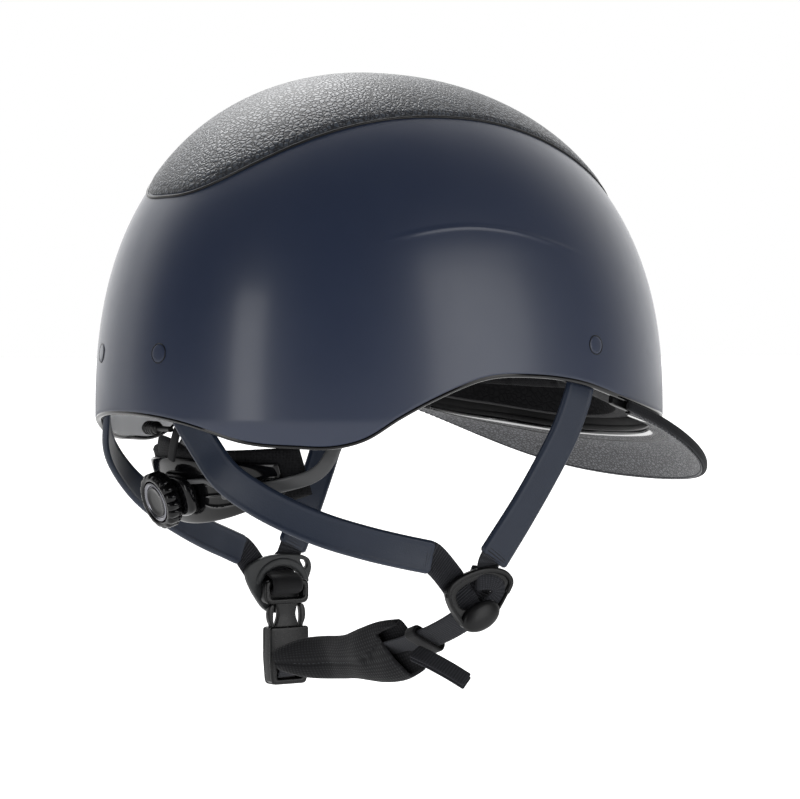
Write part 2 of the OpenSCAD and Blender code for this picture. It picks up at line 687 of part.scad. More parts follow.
module rack_band_left() {
  rack_band(1);
}

// rivet that joins an arm to its rack
pin_a = 30;
module band_pin(s) {
  color(steel) at_cradle() rotate([0, 0, -s * pin_a]) translate([0, rack_r - 1.5, -0.8])
    rotate([-90, 0, 0]) {
      cylinder(r = 1.1, h = 3.3, $fn = 24);
      translate([0, 0, 2.4]) cylinder(r = 2.3, h = 1, $fn = 32);
    }
}

module band_pin_right() {
  band_pin(-1);
}

module band_pin_left() {
  band_pin(1);
}

// ---- suspension of the cradle ----

module hanger_strap() {
  P = [[-11, 120.6, -23], [-12.6, 120.4, -17], [-14, 119.6, -11], [-14.5, 117.2, -4],
    [-14, 115.8, 4], [-13, 115.6, 12]];
  color(black) sweep(P, [for (p = P) [0, 1, 0]], strip(6, 1.4));
}

// ribbed end of the hanger's cord, lying along the inner edge of the rim
module hanger_toggle() {
  color(black) translate([5, 118.6, -9.6]) rotate([0, 90, -8]) union() {
    cylinder(r = 2.6, h = 16, $fn = 24);
    for (k = [0:3]) translate([0, 0, 2.6 + 3 * k]) cylinder(r = 3.3, h = 1.6, $fn = 24);
    translate([0, 0, -16]) cylinder(r = 1.3, h = 17, $fn = 24);
  }
}

module hanger_clip() {
  color(black) translate([-7, 114.3, 7]) difference() {
    cube([22, 6, 11], center = true);
    translate([-5.5, 1.4, 0]) cube([8, 2.8, 20], center = true);
  }
}

module temple_guide(s) {
  color(black) translate([s * 69.2, 60, 12]) difference() {
    cube([8.6, 30, 16], center = true);
    translate([-s * 1.2, 0, -2]) cube([8.6, 40, 16], center = true);
  }
}

module temple_guide_right() {
  temple_guide(-1);
}

module temple_guide_left() {
  temple_guide(1);
}

outer_shell();
rim_trim();
foam_liner();
crown_panel();
crown_panel_piping();
peak_core();
peak_leather();
peak_gloss_trim();
peak_cover();
peak_binding();
crown_pad();
brow_pad();
side_pad_right();
side_pad_left();
rear_pad();
strap_anchor_plugs();
strap_anchor_backs();
front_sleeve_right();
front_sleeve_left();
rear_sleeve_right();
rear_sleeve_left();
front_webbing_right();
front_webbing_left();
rear_webbing_right();
rear_webbing_left();
divider_frame_right();
divider_frame_left();
divider_cap();
chin_webbing_right();
chin_webbing_left();
chin_pad();
strap_keeper();
strap_tail();
buckle_loop();
buckle_plug();
prong_front();
prong_rear();
buckle_socket();
cradle_shell();
cradle_pad();
dial_housing();
dial_knob();
dial_ring();
dial_cap();
dial_pinion();
dial_screw();
rack_band_right();
rack_band_left();
band_pin_right();
band_pin_left();
hanger_strap();
hanger_toggle();
hanger_clip();
temple_guide_right();
temple_guide_left();
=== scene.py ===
"""Riding helmet: the visual model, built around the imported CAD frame.

Lengths are millimetres in the helmet's own frame and become metres when a mesh is made.
The formulas of the shell, the peak and the straps are those of the CAD source.
"""
from math import acos, asin, ceil, cos, pi, radians, sin, sqrt

import bmesh
import bpy
import numpy as np
from mathutils import Matrix, Vector


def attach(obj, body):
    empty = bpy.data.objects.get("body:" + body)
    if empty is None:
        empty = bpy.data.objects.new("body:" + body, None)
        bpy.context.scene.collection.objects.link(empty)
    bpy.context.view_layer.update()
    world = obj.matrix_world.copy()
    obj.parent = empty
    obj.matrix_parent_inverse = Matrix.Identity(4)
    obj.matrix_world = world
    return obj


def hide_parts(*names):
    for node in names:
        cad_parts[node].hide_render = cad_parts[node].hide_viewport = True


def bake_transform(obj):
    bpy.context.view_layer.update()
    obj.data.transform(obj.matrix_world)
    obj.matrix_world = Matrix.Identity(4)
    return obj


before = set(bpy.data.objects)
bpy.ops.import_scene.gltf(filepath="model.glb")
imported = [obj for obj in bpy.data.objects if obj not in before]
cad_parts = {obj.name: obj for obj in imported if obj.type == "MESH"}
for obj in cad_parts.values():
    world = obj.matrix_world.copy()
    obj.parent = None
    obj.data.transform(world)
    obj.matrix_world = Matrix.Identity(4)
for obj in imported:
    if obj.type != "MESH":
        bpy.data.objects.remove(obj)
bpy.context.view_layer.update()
MM = 0.001

# ---------------------------------------------------------------- driving dimensions

SHELL_W, SHELL_REAR, SHELL_FRONT, SHELL_H, SHELL_T = 104, 141.8, 139.1, 155.4, 3
LINER_O, LINER_T = 4.1, 18
PAD_O, PAD_T = 22.5, 5
PLAN_N, DOME_P, DOME_Q = 2.28, 2.44, 2.09
DOME_Z0, DOME_K, DOME_Y, DOME_DY = -4.5, 0.0035, -1.8, 11.4
RIM_Y = np.array([-1, -0.85, -0.7, -0.5, -0.3, -0.1, 0.1, 0.25, 0.4, 0.5, 0.6, 0.7, 0.85, 0.95, 1])
RIM_Z = np.array([-9.2, -4.3, -0.8, 5.5, 12.6, 15.7, 14.6, 7.5, -2.8, -11.5, -15.2, -15, -12,
                  -4.3, -1])
PANEL_W, PANEL_REAR, PANEL_FRONT, PANEL_MID, PANEL_T = 59, 117.5, -114, 5, 1.4
PEAK_W, PEAK_TIP, PEAK_Y0, PEAK_T = 95, 166.3, -49, 2.4
SLEEVE_W, SLEEVE_T, WEB_W, WEB_T, RIB_PITCH = 15.2, 2.6, 14, 1.6, 1.35
STRAP_MID = SHELL_T + 0.4 + SLEEVE_T / 2 + 0.3
DIVIDER_X, DIVIDER_Y, DIVIDER_Z, DIVIDER_T = 84, (4, 9), (-82.5, -87.4), 3.2
CRADLE_R, CRADLE_Y, CRADLE_Z, CRADLE_TILT = 78, 34.5, -14.2, 18
ARM_W, BAND_T, PINION_R, TEETH = 6.4, 1.6, 4.5, 12
BUCKLE = (79.2, 7, -100.5)

# ---------------------------------------------------------------- small maths


def se(c, m):
    """Power of a number that keeps its sign."""
    return np.sign(c) * np.abs(c) ** m


def unit(v):
    v = np.asarray(v, float)
    return v / np.linalg.norm(v, axis=-1, keepdims=True)


def hermite(x, xs, ys):
    """Smooth curve through the points (xs, ys)."""
    slope = np.gradient(ys, xs)
    i = np.clip(np.searchsorted(xs, x) - 1, 0, len(xs) - 2)
    h = xs[i + 1] - xs[i]
    f = (x - xs[i]) / h
    return ((2 * f**3 - 3 * f**2 + 1) * ys[i] + (f**3 - 2 * f**2 + f) * h * slope[i]
            + (3 * f**2 - 2 * f**3) * ys[i + 1] + (f**3 - f**2) * h * slope[i + 1])


def smooth_path(points, step):
    """Catmull-Rom curve through the points, with a point about every step."""
    p = np.array(points, float)
    p = np.vstack([2 * p[0] - p[1], p, 2 * p[-1] - p[-2]])
    f = np.linspace(0, 1, 16, endpoint=False)[:, None]
    curve = [0.5 * (2 * b + (c - a) * f + (2 * a - 5 * b + 4 * c - d) * f**2
                    + (3 * b - a - 3 * c + d) * f**3)
             for a, b, c, d in zip(p, p[1:], p[2:], p[3:])]
    curve = np.vstack(curve + [p[-2:-1]])
    run = np.concatenate([[0], np.cumsum(np.linalg.norm(np.diff(curve, axis=0), axis=1))])
    at = np.linspace(0, run[-1], max(3, ceil(run[-1] / step)))
    return np.column_stack([np.interp(at, run, curve[:, k]) for k in range(3)])


def ease(x):
    x = np.clip(x, 0, 1)
    return x * x * (3 - 2 * x)


def oval_section(w, t, squareness=5, edge=0.0, count=44):
    """Rounded section of a strap; edge thickens a rolled bead along both edges."""
    a = np.linspace(0, 2 * pi, count, endpoint=False)
    x = w / 2 * se(np.cos(a), 2 / squareness)
    y = t / 2 * se(np.sin(a), 2 / 2.4)
    bead = np.exp(-((np.abs(x) - (w / 2 - 1.3)) / 0.8) ** 2)
    return np.column_stack([x, y * (1 - edge / 2 + edge * bead)])


def rounded(points, r, n=5):
    """Outline whose corners are rounded to about the radius r."""
    p = np.array(points, float)
    out = []
    for a, b, c in zip(np.roll(p, 1, 0), p, np.roll(p, -1, 0)):
        u, v = a - b, c - b
        reach_u = min(r, np.linalg.norm(u) * 0.48)
        reach_v = min(r, np.linalg.norm(v) * 0.48)
        s, e = b + unit(u) * reach_u, b + unit(v) * reach_v
        for f in np.linspace(0, 1, n):
            out.append(s * (1 - f) ** 2 + 2 * b * f * (1 - f) + e * f * f)
    return np.array(out)


# ---------------------------------------------------------------- shape of the shell


def dome_r(z, o):
    below = np.maximum(0, DOME_Z0 - z)
    low = 1 - DOME_K * below**2 / (below + 3)
    f = np.clip((z - DOME_Z0) / (SHELL_H - o - DOME_Z0), 0, 1)
    return np.where(z <= DOME_Z0, low, np.maximum(0, 1 - f**DOME_P) ** (1 / DOME_Q))


def shell_pt(t, z, o):
    """Point at plan angle t (radians) and height z, at depth o under the outer face."""
    t, z = np.broadcast_arrays(np.asarray(t, float), np.asarray(z, float))
    r = dome_r(z, o)
    reach = np.where(np.sin(t) > 0, SHELL_REAR, SHELL_FRONT)
    return np.stack([(SHELL_W - o) * r * se(np.cos(t), 2 / PLAN_N),
                     (reach - o) * r * se(np.sin(t), 2 / PLAN_N) + DOME_Y + DOME_DY * (1 - r),
                     z], -1)


def rim_at(t):
    return hermite(se(np.sin(t), 2 / PLAN_N), RIM_Y, RIM_Z)


def liner_rim(t):
    """The liner stops higher at the rear quarters, where the arms of the cradle come in."""
    rear = ease((se(np.sin(t), 2 / PLAN_N) - 0.2) / 0.3)
    return rim_at(t) + 3 + 10 * rear * ease((np.abs(se(np.cos(t), 2 / PLAN_N)) - 0.24) / 0.2)


def shell_z(x, y, o):
    """Height of the surface at depth o over a point of the plan."""
    r = np.full(np.shape(x), 0.5)
    for _ in range(30):
        v = y - DOME_Y - DOME_DY * (1 - r)
        reach = np.where(v > 0, SHELL_REAR, SHELL_FRONT)
        r = np.minimum(1, ((np.abs(x) / (SHELL_W - o)) ** PLAN_N
                           + (np.abs(v) / (reach - o)) ** PLAN_N) ** (1 / PLAN_N))
    return DOME_Z0 + (SHELL_H - o - DOME_Z0) * (1 - r**DOME_Q) ** (1 / DOME_P)


def t_of_x(x, z):
    return acos((x / (SHELL_W * float(dome_r(z, 0)))) ** (PLAN_N / 2))


def t_of_y(y, z):
    r = float(dome_r(z, 0))
    v = y - DOME_Y - DOME_DY * (1 - r)
    return -asin((-v / (SHELL_FRONT * r)) ** (PLAN_N / 2))


def surface_frame(t, z):
    """Matrix whose z axis is the shell's outward normal at (t, z)."""
    d = 0.01
    c = shell_pt(t, z, 0)
    n = unit(np.cross(shell_pt(t + d, z, 0) - shell_pt(t - d, z, 0),
                      shell_pt(t, z + 1, 0) - shell_pt(t, z - 1, 0)))
    return Matrix.Translation(Vector(c)) @ Vector(n).to_track_quat("Z", "Y").to_matrix().to_4x4()


def at_cradle(p):
    """Cradle frame (z along the axis of its arc, y to the rear) to the helmet's frame."""
    p = np.asarray(p, float)
    c, s = cos(radians(CRADLE_TILT)), sin(radians(CRADLE_TILT))
    return np.stack([p[..., 0], CRADLE_Y + p[..., 1] * c + p[..., 2] * s,
                     CRADLE_Z - p[..., 1] * s + p[..., 2] * c], -1)


def arc_pt(degrees, r, z):
    a = np.radians(degrees)
    return np.stack(np.broadcast_arrays(r * np.sin(a), r * np.cos(a), z), -1)


CRADLE = Matrix.Translation((0, CRADLE_Y, CRADLE_Z)) @ Matrix.Rotation(
    radians(-CRADLE_TILT), 4, "X")


def on_axis(y):
    """Matrix of the dial's axis: z points to the rear, from y beyond the cradle."""
    return CRADLE @ Matrix.Translation((0, CRADLE_R + y, 0)) @ Matrix.Rotation(
        radians(-90), 4, "X")


def at_divider(side):
    """Matrix of a divider: x to the rear, y up, z outwards; side is -1 right, 1 left."""
    i = 0 if side < 0 else 1
    return Matrix(((0, 0, side, side * DIVIDER_X), (1, 0, 0, DIVIDER_Y[i]),
                   (0, 1, 0, DIVIDER_Z[i]), (0, 0, 0, 1)))


AT_BUCKLE = Matrix(((0, 0, 1, BUCKLE[0]), (1, 0, 0, BUCKLE[1]), (0, 1, 0, BUCKLE[2]),
                    (0, 0, 0, 1)))

# ---------------------------------------------------------------- materials


class Shade:
    """One procedural material: a principled shader plus its colour and bump nodes."""

    def __init__(self, name, **sockets):
        self.material = bpy.data.materials.new(name)
        self.material.use_nodes = True
        self.tree = self.material.node_tree
        self.bsdf = self.tree.nodes["Principled BSDF"]
        for key, value in sockets.items():
            self.bsdf.inputs[key.replace("_", " ")].default_value = value
        self.height = None

    def node(self, kind, **settings):
        made = self.tree.nodes.new("ShaderNode" + kind)
        for key, value in settings.items():
            if hasattr(made, key):
                setattr(made, key, value)
            else:
                made.inputs[key.replace("_", " ")].default_value = value
        return made

    def link(self, a, b):
        self.tree.links.new(a, b)

    def place(self):
        return self.node("TexCoord").outputs["Object"]

    def lay(self, stretch=(1, 1, 1)):
        """Millimetres along and across a strap."""
        attr = self.node("Attribute", attribute_name="lay")
        grow = self.node("Mapping", Scale=stretch)
        self.link(attr.outputs["Vector"], grow.inputs["Vector"])
        return grow.outputs["Vector"]

    def noise(self, size, detail=3.0, where=None):
        tex = self.node("TexNoise", Scale=1 / (size * MM), Detail=detail)
        self.link(where or self.place(), tex.inputs["Vector"])
        return tex.outputs["Fac"]

    def ramp(self, value, low, high, a=0.0, b=1.0):
        made = self.node("MapRange", From_Min=low, From_Max=high, To_Min=a, To_Max=b)
        self.link(value, made.inputs["Value"])
        return made.outputs["Result"]

    def math(self, op, a, b):
        made = self.node("Math", operation=op)
        for socket, value in zip(made.inputs, (a, b)):
            if isinstance(value, (int, float)):
                socket.default_value = value
            else:
                self.link(value, socket)
        return made.outputs[0]

    def tone(self, value, dark, light):
        """Colour from dark to light as value goes from 0 to 1."""
        mix = self.node("Mix", data_type="RGBA")
        self.link(value, mix.inputs[0])
        mix.inputs[6].default_value = (*dark, 1)
        mix.inputs[7].default_value = (*light, 1)
        self.link(mix.outputs[2], self.bsdf.inputs["Base Color"])

    def rough(self, value, low, high):
        self.link(self.ramp(value, 0, 1, low, high), self.bsdf.inputs["Roughness"])

    def bump(self, value, depth, strength=1.0):
        """Raise the surface by depth millimetres where value is 1."""
        made = self.node("Bump", Strength=strength, Distance=depth * MM)
        self.link(value, made.inputs["Height"])
        if self.height:
            self.link(self.height, made.inputs["Normal"])
        self.height = made.outputs["Normal"]
        self.link(self.height, self.bsdf.inputs["Normal"])


def lacquer():
    """Navy paint under a thin clear coat, with a barely visible orange peel."""
    s = Shade("navy_lacquer", Coat_Weight=0.35, Coat_Roughness=0.2, Specular_IOR_Level=0.38)
    cloudy = s.noise(38)
    s.tone(cloudy, (0.0125, 0.0205, 0.047), (0.0155, 0.0245, 0.054))
    s.rough(s.noise(9, 4), 0.36, 0.44)
    s.bump(s.noise(1.7, 2), 0.012, 0.5)
    return s.material


def pebble_leather(name, dark, light, cell, depth, rough, **sockets):
    """Embossed leather: rounded pebbles over a finer grain; the creases between them are painted
    darker as shade and the pebble tops lighter as highlight.
    """
    s = Shade(name, **sockets)
    wander = s.node("TexNoise", Scale=1 / (cell * 1.8 * MM), Detail=2.0)
    s.link(s.place(), wander.inputs["Vector"])
    shift = s.node("VectorMath", operation="MULTIPLY_ADD")
    s.link(wander.outputs["Color"], shift.inputs[0])
    shift.inputs[1].default_value = (cell * 0.22 * MM,) * 3
    s.link(s.place(), shift.inputs[2])
    cells = s.node("TexVoronoi", feature="DISTANCE_TO_EDGE", Scale=1 / (cell * MM))
    s.link(shift.outputs[0], cells.inputs["Vector"])
    pebble = s.ramp(cells.outputs["Distance"], 0.02, 0.24)
    fine = s.noise(cell * 0.3, 2)
    # Colour: the pebble pattern is the leather's grain, but its dark creases are painted shade and
    # its light tops a painted highlight, with random tone over it.
    s.tone(s.math("MULTIPLY", pebble, s.ramp(s.noise(30), 0.3, 0.7, 0.75, 1.0)), dark, light)
    s.rough(s.math("SUBTRACT", 1.0, pebble), rough, rough + 0.16)
    s.bump(fine, 0.015, 0.15)
    s.bump(pebble, depth, 0.8)
    return s.material


def smooth_leather():
    """Soft navy leather of the strap sleeves, with fine pores and slight creases across."""
    s = Shade("strap_leather", Specular_IOR_Level=0.3)
    pores = s.node("TexVoronoi", feature="F1", Scale=1 / (0.75 * MM))
    s.link(s.place(), pores.inputs["Vector"])
    creases = s.noise(0.9, 3, s.lay((0.16 * MM, 0.02 * MM, 1)))
    s.tone(s.noise(16), (0.009, 0.0145, 0.029), (0.0135, 0.0205, 0.038))
    s.rough(s.noise(5), 0.32, 0.44)
    s.bump(pores.outputs["Distance"], 0.05, 0.45)
    s.bump(creases, 0.08, 0.35)
    return s.material


def wave(s, pitch, axis, where):
    """Sine bands of the given pitch in millimetres, along or across a strap."""
    made = s.node("TexWave", wave_type="BANDS", bands_direction=axis, Scale=0.314159 / pitch)
    s.link(where, made.inputs["Vector"])
    return made.outputs["Fac"]


def woven(name, dark, light, along, across, depth, rough=0.86):
    """Cloth or webbing whose yarns cross at the given pitches."""
    s = Shade(name, Specular_IOR_Level=0.16, Sheen_Weight=0.05, Sheen_Roughness=0.5)
    warp = wave(s, along, "X", s.lay())
    weft = wave(s, across, "Y", s.lay())
    yarn = s.math("MULTIPLY", warp, weft)
    fuzz = s.noise(0.5, 4)
    s.tone(s.math("MULTIPLY", s.ramp(yarn, 0, 1, 0.35, 1), s.ramp(fuzz, 0.3, 0.7, 0.7, 1)),
           dark, light)
    s.rough(fuzz, rough - 0.06, rough + 0.06)
    s.bump(fuzz, 0.06, 0.5)
    s.bump(yarn, depth, 0.8)
    return s.material


def knit(name, dark, light):
    """Brushed lining cloth over foam."""
    s = Shade(name, Specular_IOR_Level=0.15, Sheen_Weight=0.08, Sheen_Roughness=0.45)
    cells = s.node("TexVoronoi", feature="F1", Scale=1 / (1.15 * MM), Randomness=0.35)
    s.link(s.place(), cells.inputs["Vector"])
    holes = s.ramp(cells.outputs["Distance"], 0.15, 0.6)
    fuzz = s.noise(0.45, 4)
    s.tone(s.math("MULTIPLY", holes, s.ramp(fuzz, 0.3, 0.7, 0.6, 1)), dark, light)
    s.rough(fuzz, 0.82, 0.94)
    s.bump(fuzz, 0.08, 0.5)
    s.bump(holes, 0.16, 0.7)
    return s.material


def plastic(name, dark, light, rough, grain=0.02, **sockets):
    """Moulded plastic with a fine texture and uneven gloss."""
    s = Shade(name, **sockets)
    s.tone(s.noise(7), dark, light)
    s.rough(s.noise(2.4, 4), rough, rough + 0.08)
    s.bump(s.noise(0.35, 2), grain, 0.5)
    return s.material


def metal(name, colour, rough):
    """Turned metal with fine brushing."""
    s = Shade(name, Metallic=1.0)
    s.tone(s.noise(3), tuple(c * 0.85 for c in colour), colour)
    s.rough(s.noise(0.6, 4), rough, rough + 0.12)
    s.bump(s.noise(0.25, 2), 0.01, 0.4)
    return s.material


def beads():
    """Moulded polystyrene: fused beads with small gaps between them."""
    s = Shade("eps_beads", Specular_IOR_Level=0.12)
    cells = s.node("TexVoronoi", feature="DISTANCE_TO_EDGE", Scale=1 / (2.6 * MM))
    s.link(s.place(), cells.inputs["Vector"])
    bead = s.ramp(cells.outputs["Distance"], 0.0, 0.2)
    s.tone(bead, (0.004, 0.004, 0.005), (0.008, 0.008, 0.009))
    s.rough(s.noise(2), 0.62, 0.78)
    s.bump(bead, 0.14, 0.8)
    return s.material


LACQUER = lacquer()
# The dark to light tones of these leathers run from painted crease shade to painted highlight on
# the pebble tops.
CROWN_LEATHER = pebble_leather("crown_leather", (0.004, 0.005, 0.008), (0.044, 0.053, 0.069),
                               2.3, 0.2, 0.36, Specular_IOR_Level=0.5)
PEAK_LEATHER = pebble_leather("peak_leather", (0.010, 0.0105, 0.013), (0.078, 0.080, 0.090),
                              1.8, 0.26, 0.38, Specular_IOR_Level=0.5)
STRAP_LEATHER = smooth_leather()
GLOSS = plastic("gloss_black", (0.002, 0.002, 0.0025), (0.003, 0.003, 0.0035), 0.07, 0.004,
                Specular_IOR_Level=0.3)
MOULDED = plastic("moulded_black", (0.004, 0.004, 0.0045), (0.006, 0.006, 0.0065), 0.30,
                  Specular_IOR_Level=0.25)
BUCKLE_PLASTIC = plastic("buckle_plastic", (0.0035, 0.0035, 0.004), (0.0055, 0.0055, 0.006), 0.24,
                         Specular_IOR_Level=0.28)
# Near-white colour for the inside of the shell low down: a painted reflection of the white floor
# below.
PAINTED_FLOOR_REFLECTION = plastic("painted_floor_reflection", (0.74, 0.75, 0.77), (0.80, 0.81, 0.83), 0.3)
PEAK_GLOSS = plastic("peak_gloss", (0.002, 0.002, 0.0025), (0.003, 0.003, 0.0035), 0.06, 0.004,
                     Specular_IOR_Level=0.9, Coat_Weight=1.0)
FRAME_GREY = plastic("divider_grey", (0.026, 0.028, 0.029), (0.036, 0.038, 0.040), 0.42,
                     Specular_IOR_Level=0.3)
ARM_GREY = plastic("arm_grey", (0.050, 0.051, 0.053), (0.062, 0.063, 0.066), 0.42)
BINDING = woven("binding_tape", (0.003, 0.003, 0.004), (0.014, 0.015, 0.018), 1.1, 0.9, 0.10)
# The webbing's light tone is partly its weave and partly a painted highlight on its ribs, whose
# bands share the ribs' pitch.
WEBBING = woven("webbing", (0.004, 0.004, 0.005), (0.046, 0.048, 0.056), 1.35, 0.85, 0.12)
TAPE = woven("tape", (0.002, 0.002, 0.0025), (0.008, 0.008, 0.0095), 0.7, 0.6, 0.05, 0.6)
PAD_CLOTH = woven("pad_cloth", (0.0012, 0.0012, 0.0016), (0.016, 0.0165, 0.019), 1.7, 1.7, 0.24)
LINING = knit("lining", (0.002, 0.002, 0.0025), (0.010, 0.010, 0.0115))
STEEL = metal("steel", (0.62, 0.62, 0.64), 0.22)
DARK_METAL = metal("dark_ring", (0.20, 0.20, 0.22), 0.16)
BEADS = beads()
THREAD = woven("thread", (0.015, 0.016, 0.019), (0.040, 0.042, 0.050), 0.4, 0.3, 0.02, 0.6)

# ---------------------------------------------------------------- making pieces


def finish_piece(ob, body, material, replaces=(), crease=40):
    """Shade, file and ride a finished object."""
    me = ob.data
    bm = bmesh.new()
    bm.from_mesh(me)
    bmesh.ops.recalc_face_normals(bm, faces=bm.faces)
    bm.to_mesh(me)
    bm.free()
    me.shade_smooth()
    me.set_sharp_from_angle(angle=radians(crease))
    me.materials.clear()
    me.materials.append(material)
    if ob.name not in bpy.context.scene.collection.all_objects:
        bpy.context.scene.collection.objects.link(ob)
    if body:
        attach(ob, body)
    if replaces:
        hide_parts(*replaces)
    return ob


def piece(name, body, material, shapes, replaces=(), crease=40):
    """One object from one or more (verts, faces, lay) shapes."""
    verts, faces, lay = [], [], []
    for v, f, l in shapes if isinstance(shapes, list) else [shapes]:
        base = len(verts)
        verts.extend(np.asarray(v) * MM)
        faces.extend([tuple(base + i for i in q) for q in f])
        lay.extend(l if l is not None else np.asarray(v))
    me = bpy.data.meshes.new(name)
    me.from_pydata([tuple(v) for v in verts], [], faces)
    attr = me.attributes.new("lay", "FLOAT_VECTOR", "POINT")
    attr.data.foreach_set("vector", np.asarray(lay, float).ravel())
    return finish_piece(bpy.data.objects.new(name, me), body, material, replaces, crease)


def grid_faces(rows, cols, wrap=False, base=0, flip=False):
    out = []
    for j in range(rows - 1):
        for i in range(cols if wrap else cols - 1):
            k = (i + 1) % cols
            q = (base + j * cols + i, base + j * cols + k,
                 base + (j + 1) * cols + k, base + (j + 1) * cols + i)
            out.append(q[::-1] if flip else q)
    return out


def lathe_grid(rings, lay=None):
    """Closed form from rings (n, m, 3) whose first and last rings are closed by fans."""
    n, m = rings.shape[:2]
    verts = np.vstack([rings.reshape(-1, 3), rings[0].mean(0), rings[-1].mean(0)])
    faces = grid_faces(n, m, wrap=True)
    faces += [(i, n * m, (i + 1) % m) for i in range(m)]
    faces += [((n - 1) * m + i, (n - 1) * m + (i + 1) % m, n * m + 1) for i in range(m)]
    if lay is not None:
        lay = np.vstack([lay.reshape(-1, 3), lay[0].mean(0), lay[-1].mean(0)])
    return verts, faces, lay


def lathe(profile, matrix, count=72, stretch=(1, 1), lobes=None):
    """Turn (radius, height) pairs round z; lobes(angle, k) scales the radius of ring k."""
    a = np.linspace(0, 2 * pi, count, endpoint=False)
    rings = []
    for k, (r, z) in enumerate(profile):
        r = r * (lobes(a, k) if lobes else 1)
        rings.append(np.stack([r * np.cos(a) * stretch[0], r * np.sin(a) * stretch[1],
                               np.full(count, z)], -1))
    v, f, _ = lathe_grid(np.array(rings))
    return moved(v, matrix), f, None


def moved(v, matrix):
    m = np.array(matrix)
    return np.asarray(v) @ m[:3, :3].T + m[:3, 3]


def sweep(path, normals, section, closed=False, soft=0.5, height=None):
    """Run a section along a path; normals gives the section's second axis.

    section is (k, 2) or one section per point; height(along, across) adds to its thickness.
    """
    p = np.asarray(path, float)
    m = len(p)
    n = np.broadcast_to(np.asarray(normals, float), p.shape)
    if closed:
        t = unit(np.roll(p, -1, 0) - np.roll(p, 1, 0))
    else:
        t = unit(np.vstack([p[1] - p[0], p[2:] - p[:-2], p[-1] - p[-2]]))
    s = unit(np.cross(t, n))
    b = np.cross(s, t)
    sec = np.broadcast_to(section, (m,) + np.shape(section)[-2:]).copy()
    run = np.concatenate([[0], np.cumsum(np.linalg.norm(np.diff(p, axis=0), axis=1))])
    if height:
        thick = np.abs(sec[..., 1]).max()
        sec[..., 1] *= 1 + height(run[:, None], sec[..., 0]) / thick
    rings = p[:, None] + sec[..., :1] * s[:, None] + sec[..., 1:] * b[:, None]
    k = rings.shape[1]
    lay = np.stack([np.broadcast_to(run[:, None], (m, k)), sec[..., 0], sec[..., 1]], -1)
    if closed:
        faces = grid_faces(m, k, wrap=True)
        faces += [((m - 1) * k + i, (m - 1) * k + (i + 1) % k, (i + 1) % k, i) for i in range(k)]
        return rings.reshape(-1, 3), faces, lay.reshape(-1, 3)
    thick = np.ptp(sec[0, :, 1])
    caps = []
    for end, way in ((0, -1), (-1, 1)):
        c = rings[end].mean(0)
        caps.append([c + (rings[end] - c) * f + t[end] * way * thick * soft * g
                     for f, g in ((0.985, 0.3), (0.93, 0.7), (0.84, 1.0))])
    rings = np.concatenate([np.array(caps[0][::-1]), rings, np.array(caps[1])])
    lay = np.concatenate([lay[:1].repeat(3, 0), lay, lay[-1:].repeat(3, 0)])
    return lathe_grid(rings, lay)


def plate(outline, holes, thick, bevel, matrix):
    """Flat moulding with rounded edges, as a shape."""
    cu = bpy.data.curves.new("outline", "CURVE")
    cu.dimensions, cu.fill_mode = "2D", "BOTH"
    cu.extrude = (thick / 2 - bevel) * MM
    cu.bevel_depth, cu.offset, cu.bevel_resolution = bevel * MM, -bevel * MM, 3
    for ring in [outline, *holes]:
        sp = cu.splines.new("POLY")
        sp.points.add(len(ring) - 1)
        sp.points.foreach_set("co", [c for q in ring for c in (q[0] * MM, q[1] * MM, 0, 1)])
        sp.use_cyclic_u = True
    ob = bpy.data.objects.new("outline", cu)
    bpy.context.scene.collection.objects.link(ob)
    me = bpy.data.meshes.new_from_object(ob)
    bpy.data.objects.remove(ob)
    bm = bmesh.new()
    bm.from_mesh(me)
    bmesh.ops.remove_doubles(bm, verts=bm.verts, dist=1e-6)
    verts = np.array([v.co[:] for v in bm.verts]) / MM
    faces = [tuple(v.index for v in f.verts) for f in bm.faces]
    bm.free()
    bpy.data.meshes.remove(me)
    return moved(verts, matrix), faces, None


def capsules(centres, along, length, radius):
    """Short rounded stitches."""
    shapes = []
    for c, d in zip(centres, along):
        d = unit(d)
        f = np.linspace(-1, 1, 7)
        side = unit(np.cross(d, [0.3, 0.5, 0.81]))
        up = np.cross(d, side)
        a = np.linspace(0, 2 * pi, 7, endpoint=False)
        rings = np.array([c + d * x * length / 2 + radius * sqrt(max(0.02, 1 - x**4))
                          * (np.cos(a)[:, None] * side + np.sin(a)[:, None] * up) for x in f])
        shapes.append(lathe_grid(rings))
    return shapes


def mirrored(shape):
    v, f, l = shape
    return np.asarray(v) * (-1, 1, 1), f, l


